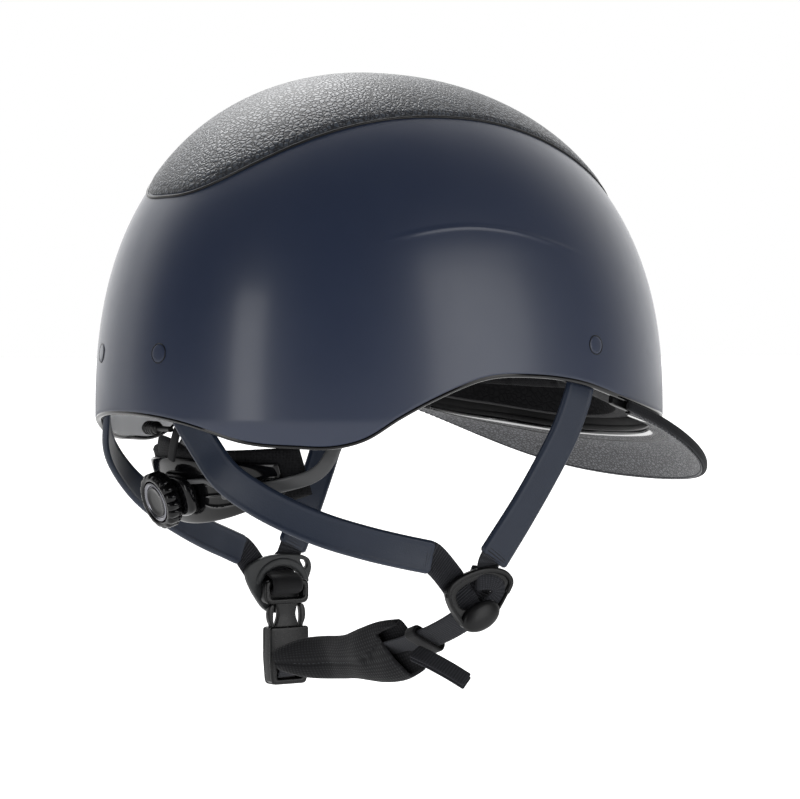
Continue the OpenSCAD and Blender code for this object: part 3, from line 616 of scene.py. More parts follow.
def inflate(ob, held, pressure, cap, frames=16):
    """Blow a pad up in a short cloth simulation; held lists the vertices that seams hold."""
    rest = np.empty(len(ob.data.vertices) * 3)
    ob.data.vertices.foreach_get("co", rest)
    group = ob.vertex_groups.new(name="seams")
    group.add([int(i) for i in held], 1.0, "REPLACE")
    mod = ob.modifiers.new("Cloth", "CLOTH")
    st = mod.settings
    st.quality, st.mass = 5, 0.15
    st.tension_stiffness = st.compression_stiffness = 12
    st.bending_stiffness = 0.3
    st.use_pressure, st.uniform_pressure_force = True, pressure
    st.vertex_group_mass = "seams"
    st.effector_weights.gravity = 0
    mod.collision_settings.use_collision = False
    scene = bpy.context.scene
    for f in range(1, frames + 1):
        scene.frame_set(f)
    done = ob.evaluated_get(bpy.context.evaluated_depsgraph_get()).to_mesh()
    now = np.empty(len(rest))
    done.vertices.foreach_get("co", now)
    ob.evaluated_get(bpy.context.evaluated_depsgraph_get()).to_mesh_clear()
    ob.modifiers.clear()
    ob.vertex_groups.clear()
    scene.frame_set(1)
    move = (now - rest).reshape(-1, 3)
    far = np.linalg.norm(move, axis=1, keepdims=True)
    move *= np.minimum(1, cap * MM / np.maximum(far, 1e-9))
    ob.data.vertices.foreach_set("co", (rest.reshape(-1, 3) + move).ravel())
    ob.data.update()


# ---------------------------------------------------------------- shell and liner

RIDGE_LOW, RIDGE_HIGH = 68, 86
# Height up to which the inside of the shell carries the painted floor reflection.
PAINTED_REFLECTION_TOP = 30 * MM


def crease(p):
    """Height of the pressed ridge that runs along both sides under the crown panel."""
    y, z = p[..., 1], p[..., 2]
    line = hermite(np.clip(y, -60, 66), np.array([-60, -37.4, -10, 11.6, 47, 66]),
                   np.array([67.0, 73.6, 79.9, 81.5, 76.6, 71.0]))
    fade = ease((y + 52) / 22) * ease((60 - y) / 26)
    d = z - line
    ridge = np.exp(-(d / 0.9) ** 2) * 0.26
    below = 0.12 * ease((2 - d) / 3) * ease((d + 16) / 14)
    return fade * (ridge + below) * (np.abs(p[..., 0]) > 40)


def dome_shape(o_out, o_in, edge_at, m, shape_out=None, rows=60):
    """Shell between two depths, from its edge up to the crown."""
    t = np.linspace(0, 2 * pi, m, endpoint=False)
    rim = edge_at(t)

    def wall(o):
        top = SHELL_H - o
        low = [rim + (RIDGE_LOW - rim) * f for f in np.linspace(0, 1, rows // 2, endpoint=False)]
        dense = [np.full(m, z) for z in np.linspace(RIDGE_LOW, RIDGE_HIGH, 40, endpoint=False)]
        high = [np.full(m, RIDGE_HIGH + (top - RIDGE_HIGH) * sin(pi / 2 * f))
                for f in np.linspace(0, 0.985, rows // 2)]
        return np.array([shell_pt(t, z, o) for z in low + dense + high])

    outer, inner = wall(o_out), wall(o_in)
    if shape_out:
        n = unit(np.cross(np.roll(outer, -1, 1) - np.roll(outer, 1, 1),
                          np.gradient(outer, axis=0)))
        outer = outer + n * shape_out(outer)[..., None]
    half = (o_in - o_out) / 2
    turn = min(half, 3)
    edge = []
    for f in np.linspace(0, 1, 9)[1:-1]:
        o = o_out + (o_in - o_out) * (1 - cos(pi * f)) / 2
        edge.append(shell_pt(t, rim - turn * 0.55 * sin(pi * f), o))
    rings = np.concatenate([outer[::-1], np.array(edge), inner])
    return lathe_grid(rings)


shell_skin = piece("outer_shell_skin", "helmet", LACQUER,
                   dome_shape(0, SHELL_T, rim_at, 320, crease, 120), ["outer_shell"])
# The shell's inner faces low down get the near-white painted reflection of the floor.
shell_skin.data.materials.append(PAINTED_FLOOR_REFLECTION)
for face in shell_skin.data.polygons:
    centre = np.array(face.center) / MM
    if face.center.z < PAINTED_REFLECTION_TOP and np.dot(face.normal[:2], centre[:2]) < 0:
        face.material_index = 1
piece("foam_liner_block", "helmet", BEADS, dome_shape(LINER_O, LINER_O + LINER_T, liner_rim, 200),
      ["foam_liner"])

t_rim = np.linspace(0, 2 * pi, 360, endpoint=False)
rim_section = np.array([[-0.9, -1.3], [-0.3, -1.45], [0.5, -1.3], [0.95, -0.7], [1.0, 0.4],
                        [0.7, 1.2], [0, 1.6], [-0.7, 1.4], [-0.95, 0.6], [-1, -0.6]])
piece("rim_edge", "helmet", GLOSS,
      sweep(shell_pt(t_rim, rim_at(t_rim) - 1.1, SHELL_T / 2),
            np.stack([np.cos(t_rim), np.sin(t_rim), 0 * t_rim], -1), rim_section, closed=True),
      ["rim_trim"])

# ---------------------------------------------------------------- crown panel


def panel_edge(a):
    rear = np.sin(a) > 0
    n = np.where(rear, 2.6, 3.2)
    reach = np.where(rear, PANEL_REAR - PANEL_MID, PANEL_MID - PANEL_FRONT)
    return np.stack([PANEL_W * se(np.cos(a), 2 / n), reach * se(np.sin(a), 2 / n)], -1)


def on_shell(p, o):
    y = p[..., 1] + PANEL_MID
    return np.stack([p[..., 0], y, shell_z(p[..., 0], y, o)], -1)


a_panel = np.linspace(0, 2 * pi, 360, endpoint=False)
edge_plan = panel_edge(a_panel)
EDGE_T = 0.75
panel_rings = [on_shell(edge_plan * f, -0.35 - EDGE_T - (PANEL_T - EDGE_T) * (1 - f**10))
               for f in np.linspace(0.012, 0.984, 80)]
for f in np.linspace(0, pi / 2, 7):
    panel_rings.append(on_shell(edge_plan * (0.986 + 0.014 * sin(f)), -0.3 - EDGE_T * cos(f)))
panel_rings.append(on_shell(edge_plan * 0.99, -0.2))
panel_rings += [on_shell(edge_plan * f, -0.25) for f in (0.9, 0.7, 0.5, 0.3, 0.012)]
piece("crown_panel_leather", "helmet", CROWN_LEATHER, lathe_grid(np.array(panel_rings)),
      ["crown_panel"])
a_cord = np.linspace(0, 2 * pi, 16, endpoint=False)
edge_way = np.roll(edge_plan, -1, 0) - np.roll(edge_plan, 1, 0)
edge_out = unit(np.stack([edge_way[:, 1], -edge_way[:, 0]], -1))
piece("crown_panel_cord", "helmet", MOULDED,
      sweep(on_shell(edge_plan + edge_out * 0.6, -0.1), (0, 0, 1),
            0.7 * np.column_stack([np.cos(a_cord), np.sin(a_cord)]), closed=True),
      ["crown_panel_piping"])

# ---------------------------------------------------------------- peak


def peak_edge(u):
    c, s = np.cos(u), np.sin(u)
    return np.stack([PEAK_W * se(s, 1.09),
                     PEAK_Y0 - (PEAK_TIP + PEAK_Y0) * c**0.635,
                     6.2 - 59 * c + 17.4 * c**2 - 11.8 * c**3 + 10.7 * c**4], -1)


def peak_pt(u, v, o):
    """u runs along the edge (radians), v from the edge to the shell, o is the depth."""
    t = radians(270) + u * 0.66
    root = shell_pt(t, rim_at(t) - 2.6, SHELL_T + 3)
    edge = peak_edge(u)
    v = np.asarray(v, float)
    bulge = 5 * np.maximum(0, np.sin(pi * v)) ** 1.5 * np.cos(u) - o
    lift = np.stack([0 * bulge, 0 * bulge, bulge], -1)
    return edge + (root - edge) * v[..., None] + lift


def peak_layer(v0, v1, top, bottom, lip=0.5):
    """Slab of the peak between two depths, with rounded long edges."""
    u = np.radians(np.linspace(-84, 84, 169))
    v = np.linspace(v0, v1, 26)
    mid = (top + bottom) / 2
    half = (bottom - top) / 2
    rows = [(x, top) for x in v] + [(v1 + lip * half / 100, mid)]
    rows += [(x, bottom) for x in v[::-1]] + [(v0 - lip * half / 100, mid)]
    ring = np.array([peak_pt(u, np.full(u.shape, x), o) for x, o in rows])
    return lathe_grid(ring.transpose(1, 0, 2))


for name, node, material, slot, spans in (
        ("peak_board", "peak_core", MOULDED, "matte_black", (0.03, 1, 0, PEAK_T)),
        ("peak_top_leather", "peak_cover", CROWN_LEATHER, "leather_grey",
         (0.03, 0.84, -1.6, -0.25)),
        ("peak_under_leather", "peak_leather", PEAK_LEATHER, "leather_grey",
         (0.03, 0.66, PEAK_T + 0.25, PEAK_T + 1.5)),
        ("peak_inner_band", "peak_gloss_trim", PEAK_GLOSS, "gloss_black",
         (0.68, 0.97, PEAK_T + 0.25, PEAK_T + 1.6))):
    shapes = [peak_layer(*spans)]
    if name == "peak_board":
        # The board carries a matte-black strip inside the front rim, reaching below it: painted
        # shade that stands in for the dark interior there.
        t_root = np.radians(np.linspace(208, 332, 120))
        inner_shade_strip = np.array([[-1.3, -3.9], [1.3, -3.9], [1.3, 3.6], [-1.3, 3.6]])
        shapes.append(sweep(shell_pt(t_root, rim_at(t_root) - 1, SHELL_T + 1.6), (0, 0, 1),
                            rounded(inner_shade_strip, 0.6, 4)))
    piece(name, "helmet", material, shapes, [node])

u_bind = np.radians(np.linspace(-84.5, 84.5, 260))
bind_n = np.stack([np.sin(u_bind), -np.cos(u_bind), 0 * u_bind], -1)
piece("peak_edge_binding", "helmet", BINDING,
      sweep(peak_pt(u_bind, np.full(u_bind.shape, -0.012), 0.55), bind_n,
            oval_section(4.4, 2.7, 2.6, count=24)), ["peak_binding"])
cord_path = peak_pt(u_bind, np.full(u_bind.shape, 0.67), PEAK_T + 1.0)
piece("peak_under_piping", "helmet", MOULDED,
      sweep(cord_path, (0, 0, 1), np.column_stack([0.8 * np.cos(a_cord), 0.8 * np.sin(a_cord)])))
u_stitch = np.radians(np.arange(-82, 82.1, 1.25))
stitches = []
for v_row, depth in ((0.055, PEAK_T + 1.5), (0.055, -1.62)):
    line = peak_pt(u_stitch, np.full(u_stitch.shape, v_row), depth)
    stitches += capsules(line, np.gradient(line, axis=0), 2.1, 0.3)
piece("peak_stitches", "helmet", THREAD, stitches)

# ---------------------------------------------------------------- comfort pads


def pad_shape(point, columns, rows, channels=()):
    """Crowned cushion over point(u, v, depth); channels are the sewn lines across it."""
    u = np.linspace(0, 1, columns)[:, None]
    v = np.linspace(0, 1, rows)[None, :]
    crown = (1 - (2 * u - 1) ** 6) ** 0.5 * (1 - (2 * v - 1) ** 4) ** 0.5
    for c in channels:
        crown = crown * (1 - 0.55 * np.exp(-((u - c) / 0.012) ** 2))
    face = point(u, v, 1.2 + (PAD_T - 0.9) * crown)
    back = point(u, v, 0 * crown)
    rings = np.concatenate([face, back[:, ::-1]], axis=1)
    lay = np.stack([np.broadcast_to(q, crown.shape) for q in (u * 100, v * 30, 0 * u)], -1)
    return lathe_grid(rings, np.concatenate([lay, lay[:, ::-1]], axis=1))


def band_pad(name, node, t0, t1, z0, z1, channels, mirror=False):
    def point(u, v, depth):
        t = radians(t0) + radians(t1 - t0) * u
        z = z0 + rim_at(t) * 0.35 + (z1 - z0) * v
        return shell_pt(*np.broadcast_arrays(t, z), PAD_O + depth)
    columns, rows = 90, 26
    shape = pad_shape(point, columns, rows, channels)
    ob = piece(name, "helmet", LINING, mirrored(shape) if mirror else shape, [node],
               crease=70)
    held = [i for i in range(columns * rows * 2) if i % (2 * rows) >= rows
            or i % (2 * rows) in (0, rows - 1)]
    inflate(ob, held, 2.5, 1.2)


band_pad("brow_cushion", "brow_pad", 222, 318, 10, 44, (0.2, 0.4, 0.6, 0.8))
band_pad("rear_cushion", "rear_pad", 52, 128, 20, 58, (0.25, 0.5, 0.75))
band_pad("side_cushion_right", "side_pad_right", 158, 206, 40, 76, (0.33, 0.67))
band_pad("side_cushion_left", "side_pad_left", 158, 206, 40, 76, (0.33, 0.67), mirror=True)

a_crown = np.linspace(0, 2 * pi, 160, endpoint=False)
crown_rim = np.stack([46 * np.cos(a_crown), 62 * np.sin(a_crown)], -1)
crown_rings = []
for f in np.linspace(0.02, 1, 34):
    swell = sqrt(max(0, 1 - f**5)) * (1 - 0.5 * np.exp(-((f - 0.55) / 0.03) ** 2))
    crown_rings.append(on_shell(crown_rim * f, PAD_O + 1.2 + (PAD_T - 0.9) * swell))
crown_rings += [on_shell(crown_rim * f, PAD_O) for f in np.linspace(1, 0.02, 12)]
crown_cushion = piece("crown_cushion", "helmet", LINING, lathe_grid(np.array(crown_rings)),
                      ["crown_pad"], crease=70)

# ---------------------------------------------------------------- strap anchors

plug_spots = ((t_of_y(-53, 28.5), 28.5), (t_of_x(27.4, 24.8), 24.8))
plug_shapes, shade_ring_shapes = [], []
ring_a = np.linspace(0, 2 * pi, 48, endpoint=False)
for t_plug, z_plug in plug_spots:
    spot = surface_frame(t_plug, z_plug)
    button = lathe([(0.05, 0.34), (2.6, 0.32), (3.5, 0.26), (4.0, 0.12), (4.15, -0.1),
                    (4.15, -0.4)], spot)
    shaft = lathe([(2.5, -0.5), (2.5, -4), (2.5, -7.8)], spot)
    # A thin matte-black ring round each button: painted shade standing in for the gap between
    # button and shell.
    ring_line = moved(np.stack([4.35 * np.cos(ring_a), 4.35 * np.sin(ring_a), 0 * ring_a + 0.02],
                               -1), spot)
    shade_ring = sweep(ring_line, Vector(spot.col[2][:3]),
                np.column_stack([0.2 * np.cos(a_cord), 0.2 * np.sin(a_cord)]), closed=True)
    for shape in (button, shaft):
        plug_shapes += [shape, mirrored(shape)]
    shade_ring_shapes += [shade_ring, mirrored(shade_ring)]
piece("anchor_buttons", "helmet", LACQUER, plug_shapes, ["strap_anchor_plugs"])
piece("anchor_button_shade_rings", "helmet", MOULDED, shade_ring_shapes)

# ---------------------------------------------------------------- harness straps


def right_side(p):
    return np.asarray(p) * (-1, 1, 1)


front_top = [right_side(shell_pt(t_of_y(y, z), z, STRAP_MID))
             for z, y in ((33, -53.5), (22, -51), (11, -48), (3, -45))]
rear_top = [right_side(shell_pt(t_of_x(x, z), z, STRAP_MID))
            for z, x in ((33, 27), (22, 29), (11, 33), (1, 37.5))]
# right side first; the left paths are drawn on the right and mirrored
FRONT_RUN = (((-94, -38, -12), (-91, -29.5, -29), (-88, -19, -47), (-85.5, -5, -67.5)),
             ((-94, -30, -14), (-91, -20, -34), (-88, -11, -52), (-85.5, -1, -71.5)))
REAR_RUN = (((-45, 122, -17), (-54, 117, -29.2), (-63, 107, -38.8), (-71, 94, -46.9),
             (-77, 79, -53.6), (-81, 61, -59.2), (-83.4, 45, -63.2), (-84.3, 30, -66.4)),
            ((-46.5, 123.5, -14), (-53, 116, -25), (-60, 102, -38), (-67, 84, -49.5),
             (-73, 67, -58), (-78, 52, -64.5), (-82, 40, -69), (-84.3, 30.5, -72.8)))


def out_normals(p):
    return unit(np.stack([p[:, 0], np.maximum(-20, p[:, 1]) * 0.55, 0 * p[:, 0]], -1))


def sleeve(points, width):
    path = smooth_path(points, 1.2)
    return sweep(path, out_normals(path), oval_section(width, SLEEVE_T + 0.5, 7, edge=0.35))


def ribs(run, across):
    """Real ribs across a webbing, fading out at its edges."""
    return 0.3 * np.sin(2 * pi * run / RIB_PITCH) * (1 - (across / (WEB_W / 2 + 0.2)) ** 4)


def web_to(points, i, arch, tip, off):
    """Webbing from the end of a sleeve past the divider's arch to its tip."""
    p = np.asarray(points, float)
    o = off if i == 0 else -off
    start = p[-1] - unit(p[-1] - p[-2]) * 6
    end = p[-1] + unit(p[-1] - p[-2]) * 2

    def in_divider(x, y):
        return (-DIVIDER_X + o, DIVIDER_Y[i] + x, DIVIDER_Z[i] + y)

    path = smooth_path([start, end, in_divider(*arch),
                        in_divider((tip[0] + arch[0]) / 2, (tip[1] + arch[1]) / 2),
                        in_divider(*tip)], 0.22)
    f = ease(np.linspace(0, 2.2, len(path)))[:, None]
    n = unit(out_normals(path) * (1 - f) + np.array([-1.0, 0, 0]) * f)
    return sweep(path, n, oval_section(WEB_W, WEB_T, 9, count=36), height=ribs)


for i, side in ((0, "right"), (1, "left")):
    for part, top, runs, arch, tip, off in (
            ("front", front_top, FRONT_RUN, (-8, 9), (0, -9), 4.6),
            ("rear", rear_top, REAR_RUN, (12, 5.5), (2, -9), 2.7)):
        points = list(top) + [np.array(q, float) for q in runs[i]]
        for label, node, material, slot, shape in (
                ("leather_sleeve", "sleeve", STRAP_LEATHER, "leather_navy",
                 sleeve(points, SLEEVE_W * (1.1 if part == "front" else 1))),
                ("ribbed_web", "webbing", WEBBING, "webbing",
                 web_to(points, i, arch, tip, off))):
            shapes = [mirrored(shape) if i else shape]
            if label == "ribbed_web" and part == "front" and side == "right":
                turn_line = smooth_path([(-1, 3.6, 0.6), (-6.5, 3.6, 1.2), (-10.8, 1.6, 1.2),
                                         (-11, -2.4, 0.8), (-7.5, -6.5, 0)], 0.6)
                v, f, lay = sweep(turn_line, (0, 0, 1), oval_section(7.4, 2.6, 4, count=36))
                shapes.append((moved(v, at_divider(-1)), f, lay))
            piece(f"{label}_{part}_{side}", "helmet", material, shapes,
                  [f"{part}_{node}_{side}"])

# ---------------------------------------------------------------- dividers

FAN = [(16.9, 0.2), (15, 3.4), (9.3, 7), (0.2, 9.8), (-7.4, 10.4), (-14.4, 9), (-18.4, 6.4),
       (-19.4, 3.4), (-18.6, 0.2), (-12.2, -8), (-7.4, -15), (-4.4, -17.4), (0.8, -18.2),
       (6, -17.4), (9.6, -14.6), (14.6, -7.6), (16.6, -3)]
FAN_WINDOW = [(12.2, -1.4), (7, 2.4), (-0.4, 5), (-7.6, 5.6), (-13.6, 4), (-14.4, 2.2),
              (-10, -3.6), (-3, -5.2), (5, -8.8), (10, -7.4)]
FAN_ARCH = [(16.2, -1.6), (14.6, 2.2), (9, 5.7), (0.2, 8.4), (-7.4, 9), (-13.8, 7.7),
            (-17.2, 5.2), (-18, 2.6), (-16.4, -0.6)]


def ridge(points, z, w, t, matrix):
    """Raised bead along a line drawn on a divider."""
    path = smooth_path([(x, y, z) for x, y in points], 0.6)
    v, f, l = sweep(path, (0, 0, 1), oval_section(w, t, 3, count=20))
    return moved(v, matrix), f, l


def wall_line(points, z, matrix):
    return ridge(points, z, 1.7, 3.4, matrix)


LEFT_FAN = [(18.8, 2), (18, 6.4), (12, 9.2), (6, 10.8), (0.2, 11.4), (-7.4, 11.4), (-14.4, 10.6),
            (-18.4, 8.6), (-19.6, 4.4), (-18.4, 0.2), (-15.4, -5.4), (-11, -11), (-7.4, -15),
            (-4.4, -17.4), (0.8, -18.2), (6, -17.4), (9.6, -14.6), (14.6, -7.6), (17.6, -2)]
CORNER_SLOT = [(-12.4, 8.4), (-15.8, 7.9), (-17, 5.4), (-15.2, 3.6)]


def half_ring(rx, ry, spread):
    """Arch over the middle of the left divider's opening."""
    return [(-2 + rx * cos(a), -3.4 + ry * sin(a)) for a in np.linspace(spread, pi - spread, 21)]


for side, label in ((-1, "right"), (1, "left")):
    place = at_divider(side)
    if side < 0:
        shapes = [plate(rounded(FAN, 2.4), [rounded(FAN_WINDOW, 2.6)], DIVIDER_T, 0.9, place),
                  ridge(FAN_ARCH, 1.5, 2.7, 2.6, place),
                  wall_line([(-16.4, -0.6), (-11.4, -8), (-7, -14)], 1.2, place),
                  wall_line([(16.2, -1.6), (14, -7), (9.4, -13.4)], 1.2, place)]
    else:
        shapes = [plate(rounded(LEFT_FAN, 2.4), [half_ring(11.4, 8.6, 0), rounded(CORNER_SLOT, 1)],
                        DIVIDER_T, 0.9, place),
                  ridge(half_ring(13.4, 10.9, 0.12), -1.4, 4, 2.2, place)]
    piece(f"divider_{label}", "helmet", MOULDED if side < 0 else FRAME_GREY, shapes,
          [f"divider_frame_{label}"])

cap_place = at_divider(-1) @ Matrix.Translation((-1, -11.6, 0)) @ Matrix.Rotation(
    radians(-22), 4, "Z")
dome_profile = [(6.3, DIVIDER_T / 2), (6.75, DIVIDER_T / 2 + 0.6), (6.7, DIVIDER_T / 2 + 1.3)]
dome_profile += [(6.55 * cos(f), DIVIDER_T / 2 + 1.5 + 2.5 * sin(f))
                 for f in np.linspace(0.05, 1.55, 14)]
piece("divider_button", "helmet", MOULDED,
      [lathe(dome_profile, cap_place, 96, (1.56, 0.96)),
       lathe([(1.9, 1.6), (2.0, 0), (2.0, -7), (1.6, -7.4)], cap_place, 40)],
      ["divider_cap"])

# ---------------------------------------------------------------- chin strap

CHIN = np.array([(-76.2, 4, -95), (-54, 13, -112), (22, 10, -126), (72, 8.5, -126)], float)


def chin_pt(k):
    k = np.asarray(k, float)[..., None]
    return (CHIN[0] * (1 - k) ** 3 + 3 * CHIN[1] * k * (1 - k) ** 2
            + 3 * CHIN[2] * k * k * (1 - k) + CHIN[3] * k**3)


def pad_line(k):
    """Middle line of the chin pad, whose end turns along the face of the socket."""
    return chin_pt(k) + np.array([-0.8, 11.5, 0]) * ease((np.asarray(k)[..., None] - 0.74) / 0.26)


def chin_dir(k):
    return unit(chin_pt(k + 0.01) - chin_pt(k - 0.01))


web_k = np.linspace(-0.02, 0.46, 90)
piece("chin_web_right", "helmet", WEBBING,
      sweep(chin_pt(web_k), unit([0.25, 0.55, -1]), oval_section(WEB_W, WEB_T, 9, count=36)),
      ["chin_webbing_right"])

left_web = smooth_path([(70.6, 8.3, -127.5), (72.6, 8, -131.5), (75.2, 7.6, -135.4),
                        (79.2, 7.2, -136.6)], 0.6)
piece("chin_web_left", "chin_strap", WEBBING,
      sweep(left_web, unit([-0.6, 0, -0.7]), oval_section(12, WEB_T, 9, count=36)),
      ["chin_webbing_left"])

# keeper: an elastic loop round the webbing
keeper_k = 0.26
kd = chin_dir(keeper_k)
ks = unit(np.cross(kd, unit([0.25, 0.55, -1])))
kn = np.cross(ks, kd)
loop = rounded([(-8.8, -2.4), (8.8, -2.4), (8.8, 2.4), (-8.8, 2.4)], 2.2, 8)
loop_path = np.array([chin_pt(keeper_k) + ks * x + kn * y for x, y in loop])
piece("keeper_loop", "keeper", TAPE,
      sweep(loop_path, unit(loop_path - chin_pt(keeper_k)), oval_section(7.4, 1.3, 6, count=24),
            closed=True), ["strap_keeper"])

tail_line = smooth_path([(-52, 15.5, -113.3), (-56, 13.2, -115), (-59.5, 10.5, -117),
                         (-65, 5.5, -120.8), (-70, 0, -125.2)], 0.5)
tail_n = unit([0.45, -0.35, -0.9])
piece("tail_layers", "helmet", WEBBING,
      [sweep(tail_line + tail_n * off, tail_n, oval_section(WEB_W - 5, 1.5, 9, count=32))
       for off in (-1, 1)], ["strap_tail"])


def pad_half_width(k):
    return hermite(k, np.array([0.30, 0.42, 0.53, 0.64, 0.75, 0.86, 0.955]),
                   np.array([12.6, 15.4, 14.2, 11.6, 11.4, 10.2, 6.0]))


def pad_surface(k, a, inset):
    """Point of the chin pad: k along it, a round its section, inset under its cloth."""
    k, a = np.broadcast_arrays(k, a)
    turn = ease((k - 0.55) / 0.4)[..., None]
    n = unit(np.array([0.1, 1, -0.5]) * (1 - turn) + np.array([-0.42, 0.86, -0.3]) * turn)
    d = unit(pad_line(k + 0.01) - pad_line(k - 0.01))
    s = unit(np.cross(d, n))
    b = np.cross(s, d)
    x = (pad_half_width(k) - inset) * se(np.cos(a), 0.72)
    lump = 1 + 0.10 * np.sin(21 * k + 2) + 0.07 * np.sin(47 * k + 3 * np.cos(a))
    y = (3.9 * lump - inset) * se(np.sin(a), 0.85)
    seam = np.exp(-((x / pad_half_width(k) - pad_seam(k)) / 0.06) ** 2) * (np.sin(a) > 0)
    y = y - 1.1 * seam * (inset == 0)
    bend = 1.6 * np.sin(2 * pi * (k - 0.3) / 0.65)
    return pad_line(k) + s * x[..., None] + b * (y + bend)[..., None]


def pad_seam(k):
    """Where the sewn seam runs across the pad, from its middle up to the fold."""
    return 0.62 - 0.75 * ease((k - 0.36) / 0.24)


pad_rows, pad_cols, HOLLOW_ROWS = 110, 72, 70
pad_a = np.linspace(0, 2 * pi, pad_cols, endpoint=False)
front_side = np.sin(pad_a) > 0
across = np.cos(pad_a)
mouth = np.where(front_side, 0.11 * ease((0.93 - across) / 0.35) * (0.45 + 0.55 * (across + 1) / 2),
                 0.0) * ease(np.abs(np.sin(pad_a)) / 0.35)
base_k = np.linspace(0.335, 0.955, pad_rows)[:, None]
pad_k = base_k + mouth[None, :] * np.clip((0.62 - base_k) / 0.285, 0, 1) ** 1.3
outside = pad_surface(pad_k, pad_a[None, :], 0)
lip = pad_surface(pad_k[0] - 0.004, pad_a, 0.7)[None]
inside = pad_surface(pad_k[:HOLLOW_ROWS], pad_a[None, :], 1.5)
pad_rings = np.concatenate([inside[::-1], lip, outside])
pad_lay = np.stack([pad_k * 150, np.broadcast_to(across * 14, pad_k.shape), 0 * pad_k], -1)
pad_lay = np.concatenate([pad_lay[:HOLLOW_ROWS][::-1], pad_lay[:1], pad_lay])
chin_cushion = piece("chin_cushion", None, PAD_CLOTH, lathe_grid(pad_rings, pad_lay), crease=75)
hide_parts("chin_pad")
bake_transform(chin_cushion)

seam_k = np.arange(0.62, 0.9, 0.0165)
seam_line = pad_surface(seam_k, np.arccos(se(pad_seam(seam_k), 1 / 0.72)), 0)
seam_stitches = piece("chin_cushion_stitches", None, THREAD,
                      capsules(seam_line + np.array([-0.1, 0.5, 0]),
                               np.gradient(seam_line, axis=0), 1.7, 0.32))
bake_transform(seam_stitches)

# ---------------------------------------------------------------- buckle

roll_path = smooth_path([(86.4, 8.4, -91), (84.6, 8.4, -93), (81.6, 8.2, -94.6), (78.4, 8, -94.9),
                         (75.6, 8, -93.4), (74.9, 8, -90.4), (76.2, 8, -87.6), (79.2, 8.2, -86.4),
                         (81.6, 8.6, -85.4)], 0.5)
piece("buckle_web_roll", "helmet", TAPE,
      sweep(roll_path, unit(roll_path - np.array([79.6, 8.2, -90.4])),
            oval_section(17.4, 2.2, 8, count=32)), ["buckle_loop"])

LOOP_OUT = [(-12.2, 2), (-10.2, 0), (11, 0), (13.4, 2), (13.4, 10), (12, 12), (-10.8, 12),
            (-12.2, 10)]
LOOP_IN = [(-8.9, 3), (9.6, 3), (9.6, 9.4), (-8.9, 9.4)]
NECK = [(-6.9, 1.4), (-5.6, -2.4), (-5, -5.4), (-6, -8.6), (-7, -11.2), (-7, -14), (-2, -15),
        (-2, -30), (2, -30), (2, -15), (7, -14), (7, -11.2), (6, -8.6), (5, -5.4), (5.6, -2.4),
        (6.9, 1.4)]
PRONG = [(7, -0.1), (9.4, -0.1), (10.5, -2.4), (10.9, -5.6), (10.4, -8.6), (9.1, -10.9),
         (9.1, -24), (8.3, -30), (6.9, -30), (7.3, -20), (7.3, -12), (7.8, -8.8), (7.9, -6),
         (7.6, -3.4)]
SOCKET = [(-11.2, -11.2), (11.2, -11.2), (11.2, -27), (10.2, -38.6), (8.8, -40), (-8.8, -40),
          (-10.2, -38.6), (-11.2, -27)]
piece("buckle_plug_body", "helmet", BUCKLE_PLASTIC,
      [plate(rounded(LOOP_OUT, 2), [rounded(LOOP_IN, 1.6)], 5.4, 1.2, AT_BUCKLE),
       plate(rounded(NECK, 2.2), [], 3.2, 0.9, AT_BUCKLE)], ["buckle_plug"])
for s, label in ((-1, "front"), (1, "rear")):
    outline = rounded([(s * x, y) for x, y in PRONG][::s], 2.4)
    piece(f"prong_arm_{label}", f"prong_{label}", BUCKLE_PLASTIC,
          plate(outline, [], 3.2, 0.6, AT_BUCKLE), [f"prong_{label}"])
SOCKET_RAIL = [(9.7, -11.6), (10.8, -11.6), (11.1, -27), (10.1, -38.2), (8.6, -39.6), (7.4, -39.6)]
SOCKET_FOOT = [(-9, -32.6), (9, -32.6), (9, -34.2), (-9, -34.2)]
SOCKET_BAR = [(-9, -37.2), (9, -37.2), (9, -39.8), (-9, -39.8)]
WEB_SLOT = [(-7, -37.2), (7, -37.2), (7, -34.4), (-7, -34.4)]


def at_depth(z):
    return AT_BUCKLE @ Matrix.Translation((0, 0, z))


piece("buckle_socket_body", "chin_strap", BUCKLE_PLASTIC,
      [plate(rounded(SOCKET, 1.8), [rounded(WEB_SLOT, 1)], 2.0, 0.95, at_depth(-3.05)),
       plate(rounded(SOCKET, 1.8), [], 2.0, 0.95, at_depth(3.05)),
       plate(SOCKET_RAIL, [], 6.6, 0.5, AT_BUCKLE),
       plate([(-x, y) for x, y in SOCKET_RAIL[::-1]], [], 6.6, 0.5, AT_BUCKLE),
       plate(SOCKET_FOOT, [], 5, 0.4, AT_BUCKLE), plate(SOCKET_BAR, [], 7, 0.6, AT_BUCKLE)],
      ["buckle_socket"])

# ---------------------------------------------------------------- cradle and dial


def cradle_ribs(a, z):
    """Sharp ribs that fan forward from the dial."""
    out = 0 * (a + z)
    i = (np.abs(a) - 14) / 5.4
    reach = ease((np.abs(a) - 11) / 6) * ease((44.5 - np.abs(a)) / 5)
    for k in range(3):
        line = -9 + 7.5 * k - k * i * 0.9 + i - 3.2 * np.exp(-i * 1.1) * (k - 1)
        d = np.abs(z - line)
        out = out + reach * 0.95 * np.exp(-(d / 0.55) ** 1.4)
    return out


